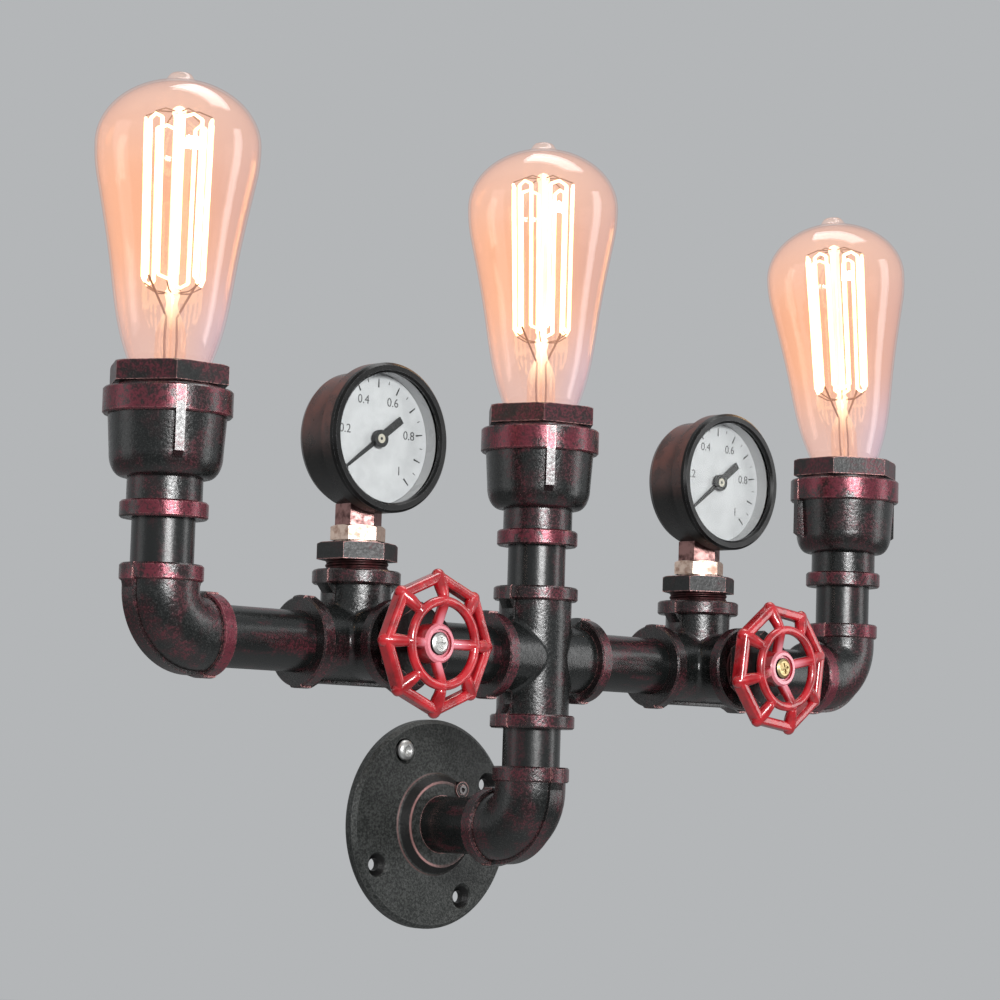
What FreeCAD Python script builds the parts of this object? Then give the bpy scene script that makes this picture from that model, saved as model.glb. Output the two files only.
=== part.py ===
import FreeCAD, Part
import math
import os

# Industrial pipe wall light: half-inch iron pipe fittings carry three bulbs, two pressure
# gauges and two handwheels in front of a round wall flange.
# Millimetres. Origin: centre of the flange's back face, +Y into the wall, +X to the right as
# seen from the front, +Z up. "Ahead" is a distance towards -Y, out from the wall.

V = FreeCAD.Vector
UP = V(0, 0, 1)
FRONT = V(0, -1, 0)
WALLWARD = V(0, 1, 0)
LEFT = V(-1, 0, 0)
RIGHT = V(1, 0, 0)
SIDES = {"left": -1, "right": 1}
LAMPS = {"left": -1, "center": 0, "right": 1}
TURN = 360.0
CORNERS_OF_HEX = 6
SAME = 0.001
EDGE_SAMPLES = 7
RIGHT_CORNERS = 1

# Pipe and its screwed ends
PIPE_OD = 21.3
PIPE_BORE = 15.8
THREAD_DEPTH = 10.0
THREAD_CLEARANCE = 0.1
WATERWAY = 17.0
END_CHAMFER = 0.6

# Lengths of pipe that show between the fittings
WALL_SHOWN = 25.7
RISER_SHOWN = 14.0
INNER_SHOWN = 35.0
OUTER_SHOWN = 36.7
LAMP_SHOWN = 15.2

# Elbows
ELBOW_REACH = 22.3
ELBOW_BEND = 14.0
ELBOW_BODY_OD = 26.0
ELBOW_BAND_OD = 28.3
ELBOW_BAND = 5.6

# Cross and side-outlet tees
TEE_REACH = 26.0
TEE_RUN_OD = 26.8
TEE_BRANCH_OD = 24.8
TEE_BAND_OD = 31.2
TEE_BAND = 5.0
BRANCH_BLEND = 2.4
SECOND_BLEND = 2.0

# Cast rib in the plane of a fitting's ports, with a lug where it crosses a band
PARTING_WIDTH = 6.0
PARTING_PROUD = 0.8
LUG_PROUD = 0.5
LUG_SLOPE = 3.5

# Wall flange
FLANGE_OD = 79.0
FLANGE_RIM = 4.6
FLANGE_FACE_RISE = 1.2
FLANGE_RIM_ROUND = 1.5
COLLAR_BASE_OD = 37.0
COLLAR_TOP_OD = 32.4
COLLAR_HEIGHT = 3.7
COLLAR_ROOT = 1.0
FLANGE_LIP = 1.5
BOLT_CIRCLE = 63.0
BOLT_COUNT = 4
BOLT_HOLE = 4.8
BOLT_SINK = 9.0
FIRST_BOLT = 29.5
SET_SCREW_OD = 3.4
SET_SCREW_AT = 36.0
SET_SCREW_OUT = 16.4
SET_SCREW_BOSS_OD = 6.2
SET_SCREW_BOSS = 0.6
SET_SCREW_LENGTH = 6.0
SET_SCREW_SOCKET = 1.7
SET_SCREW_SOCKET_DEPTH = 1.2
SET_SCREW_STANDOUT = 0.4

# Bell reducers under the bulbs
BELL_LOWER_BAND_OD = 29.8
BELL_LOWER_BAND = 5.7
BELL_NECK_OD = 25.5
BELL_NECK_TOP = 13.6
BELL_SHOULDER = 4.8
BELL_SHOULDER_RISE = 8.0
BELL_FOOT_OD = 38.2
BELL_OD = 39.9
BELL_BORE = 33.4
BELL_FLOOR = 18.5
BELL_TOP_BAND_OD = 43.7
BELL_TOP_BAND = 9.0
RIB_WIDTH = 3.1
RIB_LENGTH = 16.0
RIB_OVER_BAND = 0.3
RIB_SLOPE = 2.6
RIB_AT = {"left": 25.7, "center": 32.7, "right": 111.0}

# Hexagon collars that hold the lampholders down
COLLAR_CORNER_IN = 0.2
COLLAR_HEX = 6.7
COLLAR_GAP = 1.3
COLLAR_BORE = 29.6
COLLAR_SPIGOT = 10.0
HEX_CHAMFER = 1.2
COLLAR_AT = {"left": 30.5, "center": 40.5, "right": 1.4}

# Lampholders for E27 bulbs
HOLDER_HEIGHT = 14.9
HOLDER_CLEARANCE = 0.3
HOLDER_BASE = 4.0
SHELL_WALL = 0.5
SHELL_BORE = 27.2
SHELL_CLEARANCE = 0.1
SHELL_DROP = 1.0
CONTACT_OD = 8.0
CONTACT_HEIGHT = 1.6
CONTACT_GAP = 0.3

# Bulbs
CAP_OD = 26.2
CAP_WALL = 0.5
CAP_LENGTH = 25.5
CAP_CONE = 3.2
CAP_BUTTON_OD = 9.4
CAP_BUTTON = 1.5
NECK_SHOULDER = 1.5
NECK_OD = 27.4
NECK_INSERT_OD = 23.8
NECK_INSERT = 6.0
GLASS_WALL = 0.8
GLASS_FLARE_OD = 33.2
GLASS_FLARE = 8.5
GLASS_WAIST_OD = 43.0
GLASS_WAIST = 35.0
GLASS_SIDE_OD = 53.0
GLASS_SIDE = 61.5
GLASS_OD = 56.0
GLASS_WIDEST = 74.8
GLASS_CROWN = 97.2
PIP_OD = 12.4
PIP_HEIGHT = 2.8
PIP_CAP_OD = 7.4
PIP_CAP_DROP = 0.9
LEAN = {"left": 0.0, "center": 1.0, "right": 4.0}
LEAN_TOWARDS = V(-0.73, 0.68, 0)

# Glass mount and filament inside a bulb
FLARE_HEIGHT = 1.2
STEM_OD = 11.0
STEM_TOP = 16.0
PRESS_TOP = 24.0
ROD_OD = 3.0
ROD_TOP = 88.0
BUTTON_OD = 5.0
BUTTON_TAPER = 1.0
CAGE_LOW = 31.0
CAGE_HIGH = 84.5
CAGE_LOW_OD = 20.0
CAGE_HIGH_OD = 22.5
STRANDS = 14
STRAND_WIDTH = 0.6

# Screwed bushings in the tees' upper and front ports
BUSHING_NECK = 3.6
BUSHING_HEX = 6.1
BUSHING_FLATS = 25.0
GAUGE_THREAD_OD = 13.2
RUNNING_CLEARANCE = 0.05

# Pressure gauges
NUT_FLATS = 17.0
NUT_HEIGHT = 5.2
NUT_FACE = 0.9
NUT_FACE_OD = 15.6
SHANK_FLATS = 14.4
SHANK_SHOWN = 6.4
CASE_OD = 48.0
CASE_WALL = 0.8
CASE_BACK = 6.5
CASE_CORNER = 3.0
CASE_LIP_OUT = 1.2
CASE_LIP = 1.0
CASE_FRONT = 13.5
BEZEL_WALL = 0.95
BEZEL_DEPTH = 7.0
BEZEL_LIP = 1.6
BEZEL_ROUND = 0.9
WINDOW_IN = 1.2
LENS_THICKNESS = 1.6
FIT_GAP = 0.15
DIAL_FRONT = 8.6
DIAL_THICKNESS = 0.6
DIAL_HOLE = 3.0
SOCKET_WIDTH = 10.0
SOCKET_BACK = 4.0
SOCKET_FRONT = 2.5
SOCKET_TOP_DROP = 8.0
SOCKET_CLEAR = 1.0
SOCKET_NECK_OD = 9.0
PLATE_OD = 24.0
PLATE_THICKNESS = 1.5
POST_OD = 2.6
POST_RADIUS = 9.5
BEARING_OD = 5.0
BEARING_STOP = 0.6
TUBE_RADIUS = 16.5
TUBE_THICKNESS = 1.8
TUBE_WIDTH = 5.0
TUBE_BEHIND = 0.5
TUBE_SWEEP = 262.0
ARBOR_OD = 1.6
POINTER_GAP = 0.8
POINTER_THICKNESS = 0.7
POINTER_HUB_OD = 6.2
POINTER_HUB = 1.8
POINTER_REACH = 20.5
POINTER_ROOT = 1.7
POINTER_TIP = 0.8
POINTER_HEAD = 2.5
POINTER_HEAD_WIDTH = 2.0
POINTER_TAIL = 12.6
POINTER_TAIL_WIDTH = 2.7
POINTER_ZERO = 127.0

# Handwheels and their spindles
WHEEL_GAP = 1.8
HUB_OD = 13.6
HUB_LENGTH = 8.0
HUB_CHAMFER = 0.8
HUB_SINK_OD = 9.8
HUB_SINK = 1.2
RIM_CORNERS = 8
RIM_OD = 49.2
RIM_WIDTH = 3.8
RIM_DEPTH = 5.6
RIM_AHEAD = 5.2
RIM_ROUND = 1.3
RIM_CORNER_ROUND = 3.0
RING_OD = 28.8
RING_WIRE = 3.3
RING_AHEAD = 9.2
BAR_WIRE = 3.8
SPOKES = 4
SPOKE_WIRE = 3.8
SPOKE_AHEAD = 4.2
WHEEL_TURN = {"left": 0.0, "right": 15.0}
SPINDLE_OD = 8.0
SPINDLE_SQUARE = 5.0
SPINDLE_COLLAR_OD = 11.0
SPINDLE_COLLAR = 1.7
SPINDLE_END_GAP = 0.3
SQUARE_CLEARANCE = 0.05
SQUARE_SHORT = 0.5
SCREW_OD = 3.0
SCREW_LENGTH = 5.5
SCREW_HEAD_OD = 7.8
SCREW_HEAD = 1.7
SCREW_DOME_OD = 5.5
SCREW_DOME = 0.2
SCREW_CROSS = 4.2
SCREW_CROSS_WIDTH = 0.9
SCREW_CROSS_DEPTH = 0.7

# Leads inside the pipes
LEAD_OD = 4.0
LEAD_START = 14.0
SIDE_LEAD_APART = 3.2
SIDE_LEAD_AHEAD = 1.8
SIDE_LEAD_BEND = 11.0
CENTER_LEAD_BACK = 3.5

# Places that follow from the sizes above
SOCKET_BORE = PIPE_OD + 2 * THREAD_CLEARANCE
COLLAR_FRONT = FLANGE_RIM + FLANGE_FACE_RISE + COLLAR_HEIGHT
COLUMN_AHEAD = COLLAR_FRONT + WALL_SHOWN + ELBOW_REACH
ARM_HEIGHT = ELBOW_REACH + RISER_SHOWN + TEE_REACH
TEE_OFFSET = TEE_REACH + INNER_SHOWN + TEE_REACH
LAMP_OFFSET = TEE_OFFSET + TEE_REACH + OUTER_SHOWN + ELBOW_REACH
BELL_HEIGHT = BELL_FLOOR + HOLDER_HEIGHT + COLLAR_SPIGOT
COLLAR_FLATS = (BELL_TOP_BAND_OD - 2 * COLLAR_CORNER_IN) * math.sqrt(3) / 2
COLLAR_TOP = BELL_HEIGHT + COLLAR_GAP + COLLAR_HEX
HOLDER_FLOOR = BELL_FLOOR + HOLDER_BASE
CAP_BOTTOM = HOLDER_FLOOR + CONTACT_HEIGHT + CONTACT_GAP
CAP_TOP = CAP_BOTTOM + CAP_LENGTH
GLASS_BASE = CAP_TOP + NECK_SHOULDER
BUSHING_TOP = TEE_REACH + BUSHING_NECK + BUSHING_HEX
NUT_TOP = BUSHING_TOP + NUT_FACE + NUT_HEIGHT
GAUGE_HEIGHT = NUT_TOP + SHANK_SHOWN + CASE_OD / 2
HUB_BACK = BUSHING_TOP + WHEEL_GAP
CASE_LIP_OD = CASE_OD + 2 * CASE_LIP_OUT
BEZEL_OD = CASE_LIP_OD + 2 * (FIT_GAP + BEZEL_WALL)
BEZEL_WINDOW = CASE_OD - 2 * WINDOW_IN


# Basic shapes, all on the Z axis

def cylinder(radius, low, high):
    """A round bar between two heights."""
    return Part.makeCylinder(radius, high - low, V(0, 0, low))


def tube(outer, inner, low, high):
    """A round tube between two heights."""
    return cylinder(outer, low, high).cut(cylinder(inner, low, high))


def turned(corners):
    """A solid turned about Z from (radius, height) corners."""
    points = [V(radius, 0, height) for radius, height in corners]
    return turned_edges(Part.makePolygon(points + points[:1]).Edges)


def turned_edges(edges):
    """A solid turned about Z from the edges of a closed half section."""
    return Part.Face(Part.Wire(edges)).revolve(V(0, 0, 0), UP, TURN)


def chamfered_disc(radius, chamfer, low, high):
    """A solid disc with both rims chamfered."""
    return turned([(0, low), (radius - chamfer, low), (radius, low + chamfer),
                   (radius, high - chamfer), (radius - chamfer, high), (0, high)])


def from_front(angle, distance, height=0.0):
    """A point at an angle from straight ahead round to the left."""
    turn = math.radians(angle)
    return V(-distance * math.sin(turn), -distance * math.cos(turn), height)


def prism(points, depth):
    """A flat outline raised along Z."""
    return Part.Face(Part.makePolygon(points + points[:1])).extrude(UP * depth)


def hexagon(flats, low, high, first_corner=0.0):
    """A hexagon bar whose corners are chamfered at the top."""
    corner = flats / math.sqrt(3)
    step = TURN / CORNERS_OF_HEX
    points = [from_front(first_corner + step * i, corner, low) for i in range(CORNERS_OF_HEX)]
    rounding = turned([(0, low), (corner, low), (corner, high - HEX_CHAMFER / 2),
                       (corner - HEX_CHAMFER, high), (0, high)])
    return prism(points, high - low).common(rounding)


def block(width, depth, low, high):
    """A rectangular block centred on the Z axis."""
    return Part.makeBox(width, depth, high - low, V(-width / 2, -depth / 2, low))


def aimed(shape, direction, place=V(0, 0, 0)):
    """Point a shape's Z axis along a direction and set it at a place."""
    turn = FreeCAD.Rotation(UP, direction)
    return moved(shape, FreeCAD.Placement(place, turn))


def moved(shape, placement):
    """A copy of a shape under one more placement."""
    result = shape.copy()
    result.Placement = placement.multiply(result.Placement)
    return result


def shifted(shape, place):
    """A copy of a shape moved without turning."""
    return moved(shape, FreeCAD.Placement(place, FreeCAD.Rotation()))


def spun(shape, angle, axis=UP):
    """A copy of a shape turned about an axis through the origin."""
    return moved(shape, FreeCAD.Placement(V(0, 0, 0), FreeCAD.Rotation(axis, angle)))


# Pipe and fittings

def nipple(shown):
    """A pipe piece whose two ends go into their sockets, from Z = 0 up."""
    ends = turned([(PIPE_BORE / 2, 0), (PIPE_OD / 2 - END_CHAMFER, 0), (PIPE_OD / 2, END_CHAMFER),
                   (PIPE_OD / 2, shown + 2 * THREAD_DEPTH - END_CHAMFER),
                   (PIPE_OD / 2 - END_CHAMFER, shown + 2 * THREAD_DEPTH),
                   (PIPE_BORE / 2, shown + 2 * THREAD_DEPTH)])
    return shifted(ends, V(0, 0, -THREAD_DEPTH))


def port_band(diameter, width, reach, direction):
    """The thick band round a fitting's port."""
    return aimed(chamfered_disc(diameter / 2, END_CHAMFER, reach - width, reach), direction)


def port_bore(reach, direction, start=0.0):
    """The space that a port takes out of a fitting: waterway and pipe socket."""
    waterway = cylinder(WATERWAY / 2, start, reach)
    socket = cylinder(SOCKET_BORE / 2, reach - THREAD_DEPTH, reach + END_CHAMFER)
    return aimed(waterway.fuse(socket), direction)


def parting_rib(body, band, width, reach, start=0.0):
    """The cast rib on both sides of one port: body and band are radii, width the band's."""
    crest = body + PARTING_PROUD
    lug = band + LUG_PROUD
    under = reach - width
    both = turned([(0, start), (crest, start), (crest, under - LUG_SLOPE), (lug, under),
                   (lug, reach - END_CHAMFER), (lug - END_CHAMFER, reach), (0, reach)])
    return both.common(block(2 * lug, PARTING_WIDTH, start, reach))


def bend_rib():
    """The cast rib round the outside of an elbow's bend, between its two ports' ribs."""
    outer = ELBOW_BEND + ELBOW_BODY_OD / 2 + PARTING_PROUD
    half = PARTING_WIDTH / 2
    ring = aimed(tube(outer, ELBOW_BEND, -half, half), FRONT)
    quarter = Part.makeBox(outer, PARTING_WIDTH, outer, V(-outer, -half, -outer))
    return shifted(ring.common(quarter), V(ELBOW_BEND, 0, ELBOW_BEND))


def bent_bar(radius, reach):
    """A round bar from the +Z port to the +X port with a quarter bend between."""
    inside = ELBOW_BEND * (1 - math.sqrt(0.5))
    runs = [Part.LineSegment(V(0, 0, reach), V(0, 0, ELBOW_BEND)),
            Part.Arc(V(0, 0, ELBOW_BEND), V(inside, 0, inside), V(ELBOW_BEND, 0, 0)),
            Part.LineSegment(V(ELBOW_BEND, 0, 0), V(reach, 0, 0))]
    path = Part.Wire([run.toShape() for run in runs])
    section = Part.Wire(Part.makeCircle(radius, V(0, 0, reach), UP))
    return path.makePipeShell([section], True, False)


def elbow():
    """A quarter-turn elbow with its ports at +Z and +X."""
    body = bent_bar(ELBOW_BODY_OD / 2, ELBOW_REACH).fuse(bend_rib())
    rib = parting_rib(ELBOW_BODY_OD / 2, ELBOW_BAND_OD / 2, ELBOW_BAND, ELBOW_REACH, ELBOW_BEND)
    for direction in (UP, RIGHT):
        body = body.fuse(port_band(ELBOW_BAND_OD, ELBOW_BAND, ELBOW_REACH, direction))
        body = body.fuse(aimed(rib, direction))
    body = body.cut(bent_bar(WATERWAY / 2, ELBOW_REACH))
    for direction in (UP, RIGHT):
        body = body.cut(port_bore(ELBOW_REACH, direction, ELBOW_BEND))
    return body.removeSplitter()


def branch_edges(shape, axis):
    """The edges round which a branch along an axis leaves the rest of a casting."""
    found = []
    for edge in shape.Edges:
        points = edge.discretize(EDGE_SAMPLES)
        off_axis = [point.cross(axis).Length for point in points]
        along = [abs(point.dot(axis)) for point in points]
        on_branch = all(abs(distance - TEE_BRANCH_OD / 2) < SAME for distance in off_axis)
        if on_branch and max(along) < TEE_REACH - SAME:
            found.append(edge)
    return found


def casting(run, branch_steps):
    """Straight run with blended branches, bands and bores; each step is (axis, blend, ports)."""
    body = shifted(aimed(cylinder(TEE_RUN_OD / 2, 0, 2 * TEE_REACH), run), run * -TEE_REACH)
    ports = {"run": [run, run * -1], "branch": []}
    for axis, blend, sides in branch_steps:
        branch = cylinder(TEE_BRANCH_OD / 2, 0, TEE_REACH)
        for side in sides:
            body = body.fuse(aimed(branch, side))
        body = body.makeFillet(blend, branch_edges(body, axis))
        ports["branch"] += sides
    for kind, diameter in (("run", TEE_RUN_OD), ("branch", TEE_BRANCH_OD)):
        rib = parting_rib(diameter / 2, TEE_BAND_OD / 2, TEE_BAND, TEE_REACH)
        for direction in ports[kind]:
            body = body.fuse(port_band(TEE_BAND_OD, TEE_BAND, TEE_REACH, direction))
            if direction != FRONT:
                body = body.fuse(aimed(rib, direction))
    for direction in ports["run"] + ports["branch"]:
        body = body.cut(port_bore(TEE_REACH, direction))
    return body.removeSplitter()


def cross_fitting():
    """The four-way cross behind the middle lamp."""
    return casting(UP, [(RIGHT, BRANCH_BLEND, [LEFT, RIGHT])])


def tee():
    """A side-outlet tee: run left to right, one port up and one to the front."""
    return casting(RIGHT, [(UP, BRANCH_BLEND, [UP]), (FRONT, SECOND_BLEND, [FRONT])])


def flange():
    """The wall flange with its collar, countersunk bolt holes and set screw hole."""
    rim = FLANGE_OD / 2
    face = FLANGE_RIM + FLANGE_FACE_RISE
    body = turned([(WATERWAY / 2, 0), (rim, 0), (rim, FLANGE_RIM - FLANGE_RIM_ROUND),
                   (rim - FLANGE_RIM_ROUND, FLANGE_RIM),
                   (COLLAR_BASE_OD / 2 + COLLAR_ROOT, face),
                   (COLLAR_BASE_OD / 2, face + COLLAR_ROOT), (COLLAR_TOP_OD / 2, COLLAR_FRONT),
                   (SOCKET_BORE / 2, COLLAR_FRONT), (SOCKET_BORE / 2, FLANGE_LIP),
                   (WATERWAY / 2, FLANGE_LIP)])
    hole = cylinder(BOLT_HOLE / 2, 0, COLLAR_FRONT)
    sink_depth = face - FLANGE_RIM + (BOLT_SINK - BOLT_HOLE) / 2
    sink = Part.makeCone(BOLT_HOLE / 2, BOLT_HOLE / 2 + sink_depth, sink_depth,
                         V(0, 0, face - sink_depth))
    for number in range(BOLT_COUNT):
        turn = math.radians(FIRST_BOLT + TURN / 4 + number * TURN / BOLT_COUNT)
        place = V(math.cos(turn), math.sin(turn), 0) * (BOLT_CIRCLE / 2)
        body = body.cut(shifted(hole.fuse(sink), place))
    top = COLLAR_FRONT + SET_SCREW_BOSS
    body = aimed(body, FRONT).fuse(set_screw_line(SET_SCREW_BOSS_OD / 2, face, top))
    hole = SET_SCREW_OD / 2 + THREAD_CLEARANCE
    return body.cut(set_screw_line(hole, top - SET_SCREW_LENGTH, top))


def set_screw_line(radius, low, high):
    """A round bar on the set screw's line, beside the collar's edge and parallel to the pipe."""
    direction = spun(Part.Vertex(UP), SET_SCREW_AT, WALLWARD).Point
    return aimed(cylinder(radius, low, high), FRONT, direction * SET_SCREW_OUT)


def set_screw():
    """The grub screw in the boss on the flange's collar."""
    foot = COLLAR_FRONT + SET_SCREW_BOSS - SET_SCREW_LENGTH + THREAD_CLEARANCE
    top = COLLAR_FRONT + SET_SCREW_BOSS + SET_SCREW_STANDOUT
    screw = set_screw_line(SET_SCREW_OD / 2, foot, top)
    return screw.cut(set_screw_line(SET_SCREW_SOCKET / 2, top - SET_SCREW_SOCKET_DEPTH, top))


# Lamps: every height is from the foot of the bell reducer

def bell_reducer(rib_at):
    """A bell reducer, narrow port down, with two opposite cast ribs from its top band down."""
    neck = BELL_NECK_OD / 2
    waist = BELL_FOOT_OD / 2
    band_foot = BELL_HEIGHT - BELL_TOP_BAND
    middle = V(waist - BELL_SHOULDER, 0, BELL_NECK_TOP + BELL_SHOULDER_RISE)
    bottom = middle - UP * BELL_SHOULDER_RISE
    side = middle + RIGHT * BELL_SHOULDER
    shoulder = Part.ArcOfEllipse(Part.Ellipse(bottom, side, middle), 0, math.pi / 2).toShape()
    outline = [side, V(BELL_OD / 2, 0, band_foot), V(BELL_OD / 2, 0, BELL_HEIGHT),
               V(0, 0, BELL_HEIGHT), V(0, 0, 0), V(neck, 0, 0), V(neck, 0, BELL_NECK_TOP), bottom]
    body = turned_edges([shoulder] + Part.makePolygon(outline).Edges)
    body = body.fuse(chamfered_disc(BELL_LOWER_BAND_OD / 2, END_CHAMFER, 0, BELL_LOWER_BAND))
    body = body.fuse(chamfered_disc(BELL_TOP_BAND_OD / 2, END_CHAMFER, band_foot, BELL_HEIGHT))
    for turn in (rib_at, rib_at + TURN / 2):
        body = body.fuse(spun(bell_rib(band_foot - RIB_LENGTH), -turn))
    body = body.cut(cylinder(BELL_BORE / 2, BELL_FLOOR, BELL_HEIGHT))
    body = body.cut(cylinder(WATERWAY / 2, 0, BELL_HEIGHT))
    return body.cut(cylinder(SOCKET_BORE / 2, 0, THREAD_DEPTH)).removeSplitter()


def bell_rib(foot):
    """One cast rib on the front of a bell, over its band and down the bowl."""
    root = (BELL_BORE + BELL_FOOT_OD) / 4
    crest = BELL_TOP_BAND_OD / 2 + RIB_OVER_BAND
    top = BELL_HEIGHT - END_CHAMFER
    left = -RIB_WIDTH / 2
    side = [V(left, -root, foot), V(left, -crest, foot + RIB_SLOPE), V(left, -crest, top),
            V(left, -root, top)]
    return Part.Face(Part.makePolygon(side + side[:1])).extrude(RIGHT * RIB_WIDTH)


def hex_collar(first_corner):
    """The hexagon collar screwed into the bell's mouth on top of the lampholder."""
    foot = BELL_HEIGHT - COLLAR_SPIGOT
    hex_foot = BELL_HEIGHT + COLLAR_GAP
    spigot = cylinder(BELL_BORE / 2 - THREAD_CLEARANCE, foot, hex_foot)
    body = spigot.fuse(hexagon(COLLAR_FLATS, hex_foot, COLLAR_TOP, first_corner))
    return body.cut(cylinder(COLLAR_BORE / 2, foot, COLLAR_TOP))


def lampholder(lead_hole):
    """The porcelain cup that stands on the bell's floor under the collar's spigot."""
    outer = BELL_BORE / 2 - HOLDER_CLEARANCE
    inner = SHELL_BORE / 2 + SHELL_WALL + SHELL_CLEARANCE
    top = BELL_FLOOR + HOLDER_HEIGHT
    cup = chamfered_disc(outer, END_CHAMFER, BELL_FLOOR, top)
    cup = cup.cut(cylinder(inner, HOLDER_FLOOR, top))
    terminal = cylinder(LEAD_OD / 4, BELL_FLOOR, HOLDER_FLOOR)
    return cup.cut(shifted(terminal, lead_hole))


def screw_shell():
    """The thin brass shell that takes the bulb's cap."""
    inner = SHELL_BORE / 2
    return tube(inner + SHELL_WALL, inner, HOLDER_FLOOR, COLLAR_TOP - SHELL_DROP)


def center_contact():
    """The brass contact under the bulb."""
    radius = CONTACT_OD / 2
    top = HOLDER_FLOOR + CONTACT_HEIGHT
    return turned([(0, HOLDER_FLOOR), (radius, HOLDER_FLOOR),
                   (radius, HOLDER_FLOOR + CONTACT_HEIGHT / 3), (radius / 2, top), (0, top)])


def bulb_cap():
    """A bulb's brass cap: thin screwed shell, insulated cone and end button."""
    shell = CAP_OD / 2
    cone = CAP_BOTTOM + CAP_BUTTON
    wide = cone + CAP_CONE
    return turned([(0, CAP_BOTTOM), (CAP_BUTTON_OD / 2, CAP_BOTTOM), (CAP_BUTTON_OD / 2, cone),
                   (shell, wide), (shell, CAP_TOP), (shell - CAP_WALL, CAP_TOP),
                   (shell - CAP_WALL, wide), (CAP_BUTTON_OD / 2, cone + CAP_WALL),
                   (0, cone + CAP_WALL)])


def glass_curve(inset, crown_radius):
    """The bulb's outline, moved in by a wall: flare and side as one curve, dome as an ellipse."""
    wide = GLASS_OD / 2 - inset
    middle = V(0, 0, GLASS_BASE + GLASS_WIDEST)
    low = [(NECK_OD, 0), (GLASS_FLARE_OD, GLASS_FLARE), (GLASS_WAIST_OD, GLASS_WAIST),
           (GLASS_SIDE_OD, GLASS_SIDE), (GLASS_OD, GLASS_WIDEST)]
    points = [V(diameter / 2 - inset, 0, GLASS_BASE + height) for diameter, height in low]
    side = Part.BSplineCurve()
    side.interpolate(Points=points, InitialTangent=points[1] - points[0], FinalTangent=UP)
    rise = GLASS_CROWN - GLASS_WIDEST - inset
    dome = Part.Ellipse(middle + RIGHT * wide, middle + UP * rise, middle)
    end = math.acos(crown_radius / wide)
    return [side.toShape(), Part.ArcOfEllipse(dome, 0, end).toShape()], points[0], dome, end


def glass_pip(dome, end):
    """The sealed-off pip: a low smooth mound from the dome up to the tip."""
    foot = dome.value(end)
    tip = V(0, 0, GLASS_BASE + GLASS_CROWN + PIP_HEIGHT)
    mound = Part.BSplineCurve()
    mound.interpolate(Points=[foot, V(PIP_CAP_OD / 2, 0, tip.z - PIP_CAP_DROP), tip],
                      InitialTangent=dome.tangent(end)[0], FinalTangent=LEFT)
    return mound.toShape(), tip


def bulb_glass():
    """The thin glass envelope, open where its neck is cemented into the cap."""
    outer, outer_neck, dome, end = glass_curve(0.0, PIP_OD / 2)
    inner, inner_neck, hollow, inner_end = glass_curve(GLASS_WALL, 0.0)
    mound, tip = glass_pip(dome, end)
    insert = NECK_INSERT_OD / 2
    foot = CAP_TOP - NECK_INSERT
    axis = Part.makeLine(tip, hollow.value(inner_end))
    neck = [inner_neck, V(insert - GLASS_WALL, 0, CAP_TOP), V(insert - GLASS_WALL, 0, foot),
            V(insert, 0, foot), V(insert, 0, CAP_TOP), V(CAP_OD / 2 - CAP_WALL / 2, 0, CAP_TOP),
            outer_neck]
    edges = outer + [mound, axis] + inner + Part.makePolygon(neck).Edges
    return turned_edges(Part.__sortEdges__(edges))


def filament_stem():
    """The glass mount: flare under the neck, press, and the rod up the middle."""
    foot = CAP_TOP - NECK_INSERT
    stem = STEM_OD / 2
    rod = ROD_OD / 2
    button = BUTTON_OD / 2
    top = GLASS_BASE + ROD_TOP
    press = GLASS_BASE + PRESS_TOP
    flare = NECK_INSERT_OD / 2
    return turned([(0, foot - FLARE_HEIGHT), (flare, foot - FLARE_HEIGHT), (flare, foot),
                   (flare - GLASS_WALL - FIT_GAP, foot), (stem, foot + FLARE_HEIGHT),
                   (stem, GLASS_BASE + STEM_TOP), (rod, press - button),
                   (rod, press - BUTTON_TAPER), (button, press), (button, press + BUTTON_TAPER),
                   (rod, press + 2 * BUTTON_TAPER), (rod, top - 2 * BUTTON_TAPER),
                   (button, top - BUTTON_TAPER), (button, top), (0, top + BUTTON_TAPER)])


def filament():
    """The filament, one wire led up and down in hairpins round the rod."""
    low = GLASS_BASE + CAGE_LOW
    high = GLASS_BASE + CAGE_HIGH
    points = []
    for number in range(STRANDS):
        turn = number * TURN / STRANDS
        bottom = from_front(turn, CAGE_LOW_OD / 2, low)
        top = from_front(turn, CAGE_HIGH_OD / 2, high)
        points += [bottom, top] if number % 2 == 0 else [top, bottom]
    path = Part.Wire(Part.makePolygon(points))
    start = points[0]
    half = STRAND_WIDTH / 2
    square = [start + V(-half, -half, 0), start + V(half, -half, 0), start + V(half, half, 0),
              start + V(-half, half, 0)]
    section = Part.makePolygon(square + square[:1])
    return path.makePipeShell([section], True, False, RIGHT_CORNERS)


def bulb_mount():
    """Mount and filament as they sit together in a bulb."""
    return Part.makeCompound([filament_stem(), filament()])


def leaned(shape, lamp):
    """A bulb's glass parts as they lean in the cap, lifted so that they stay on its rim."""
    angle = LEAN[lamp]
    axis = UP.cross(LEAN_TOWARDS)
    lift = CAP_OD / 2 * math.sin(math.radians(angle))
    turn = FreeCAD.Rotation(axis, angle)
    pivot = V(0, 0, CAP_TOP)
    return moved(shape, FreeCAD.Placement(V(0, 0, lift), turn, pivot))


# Bushings, gauges: every height is from the tee's centre along the port

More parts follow.
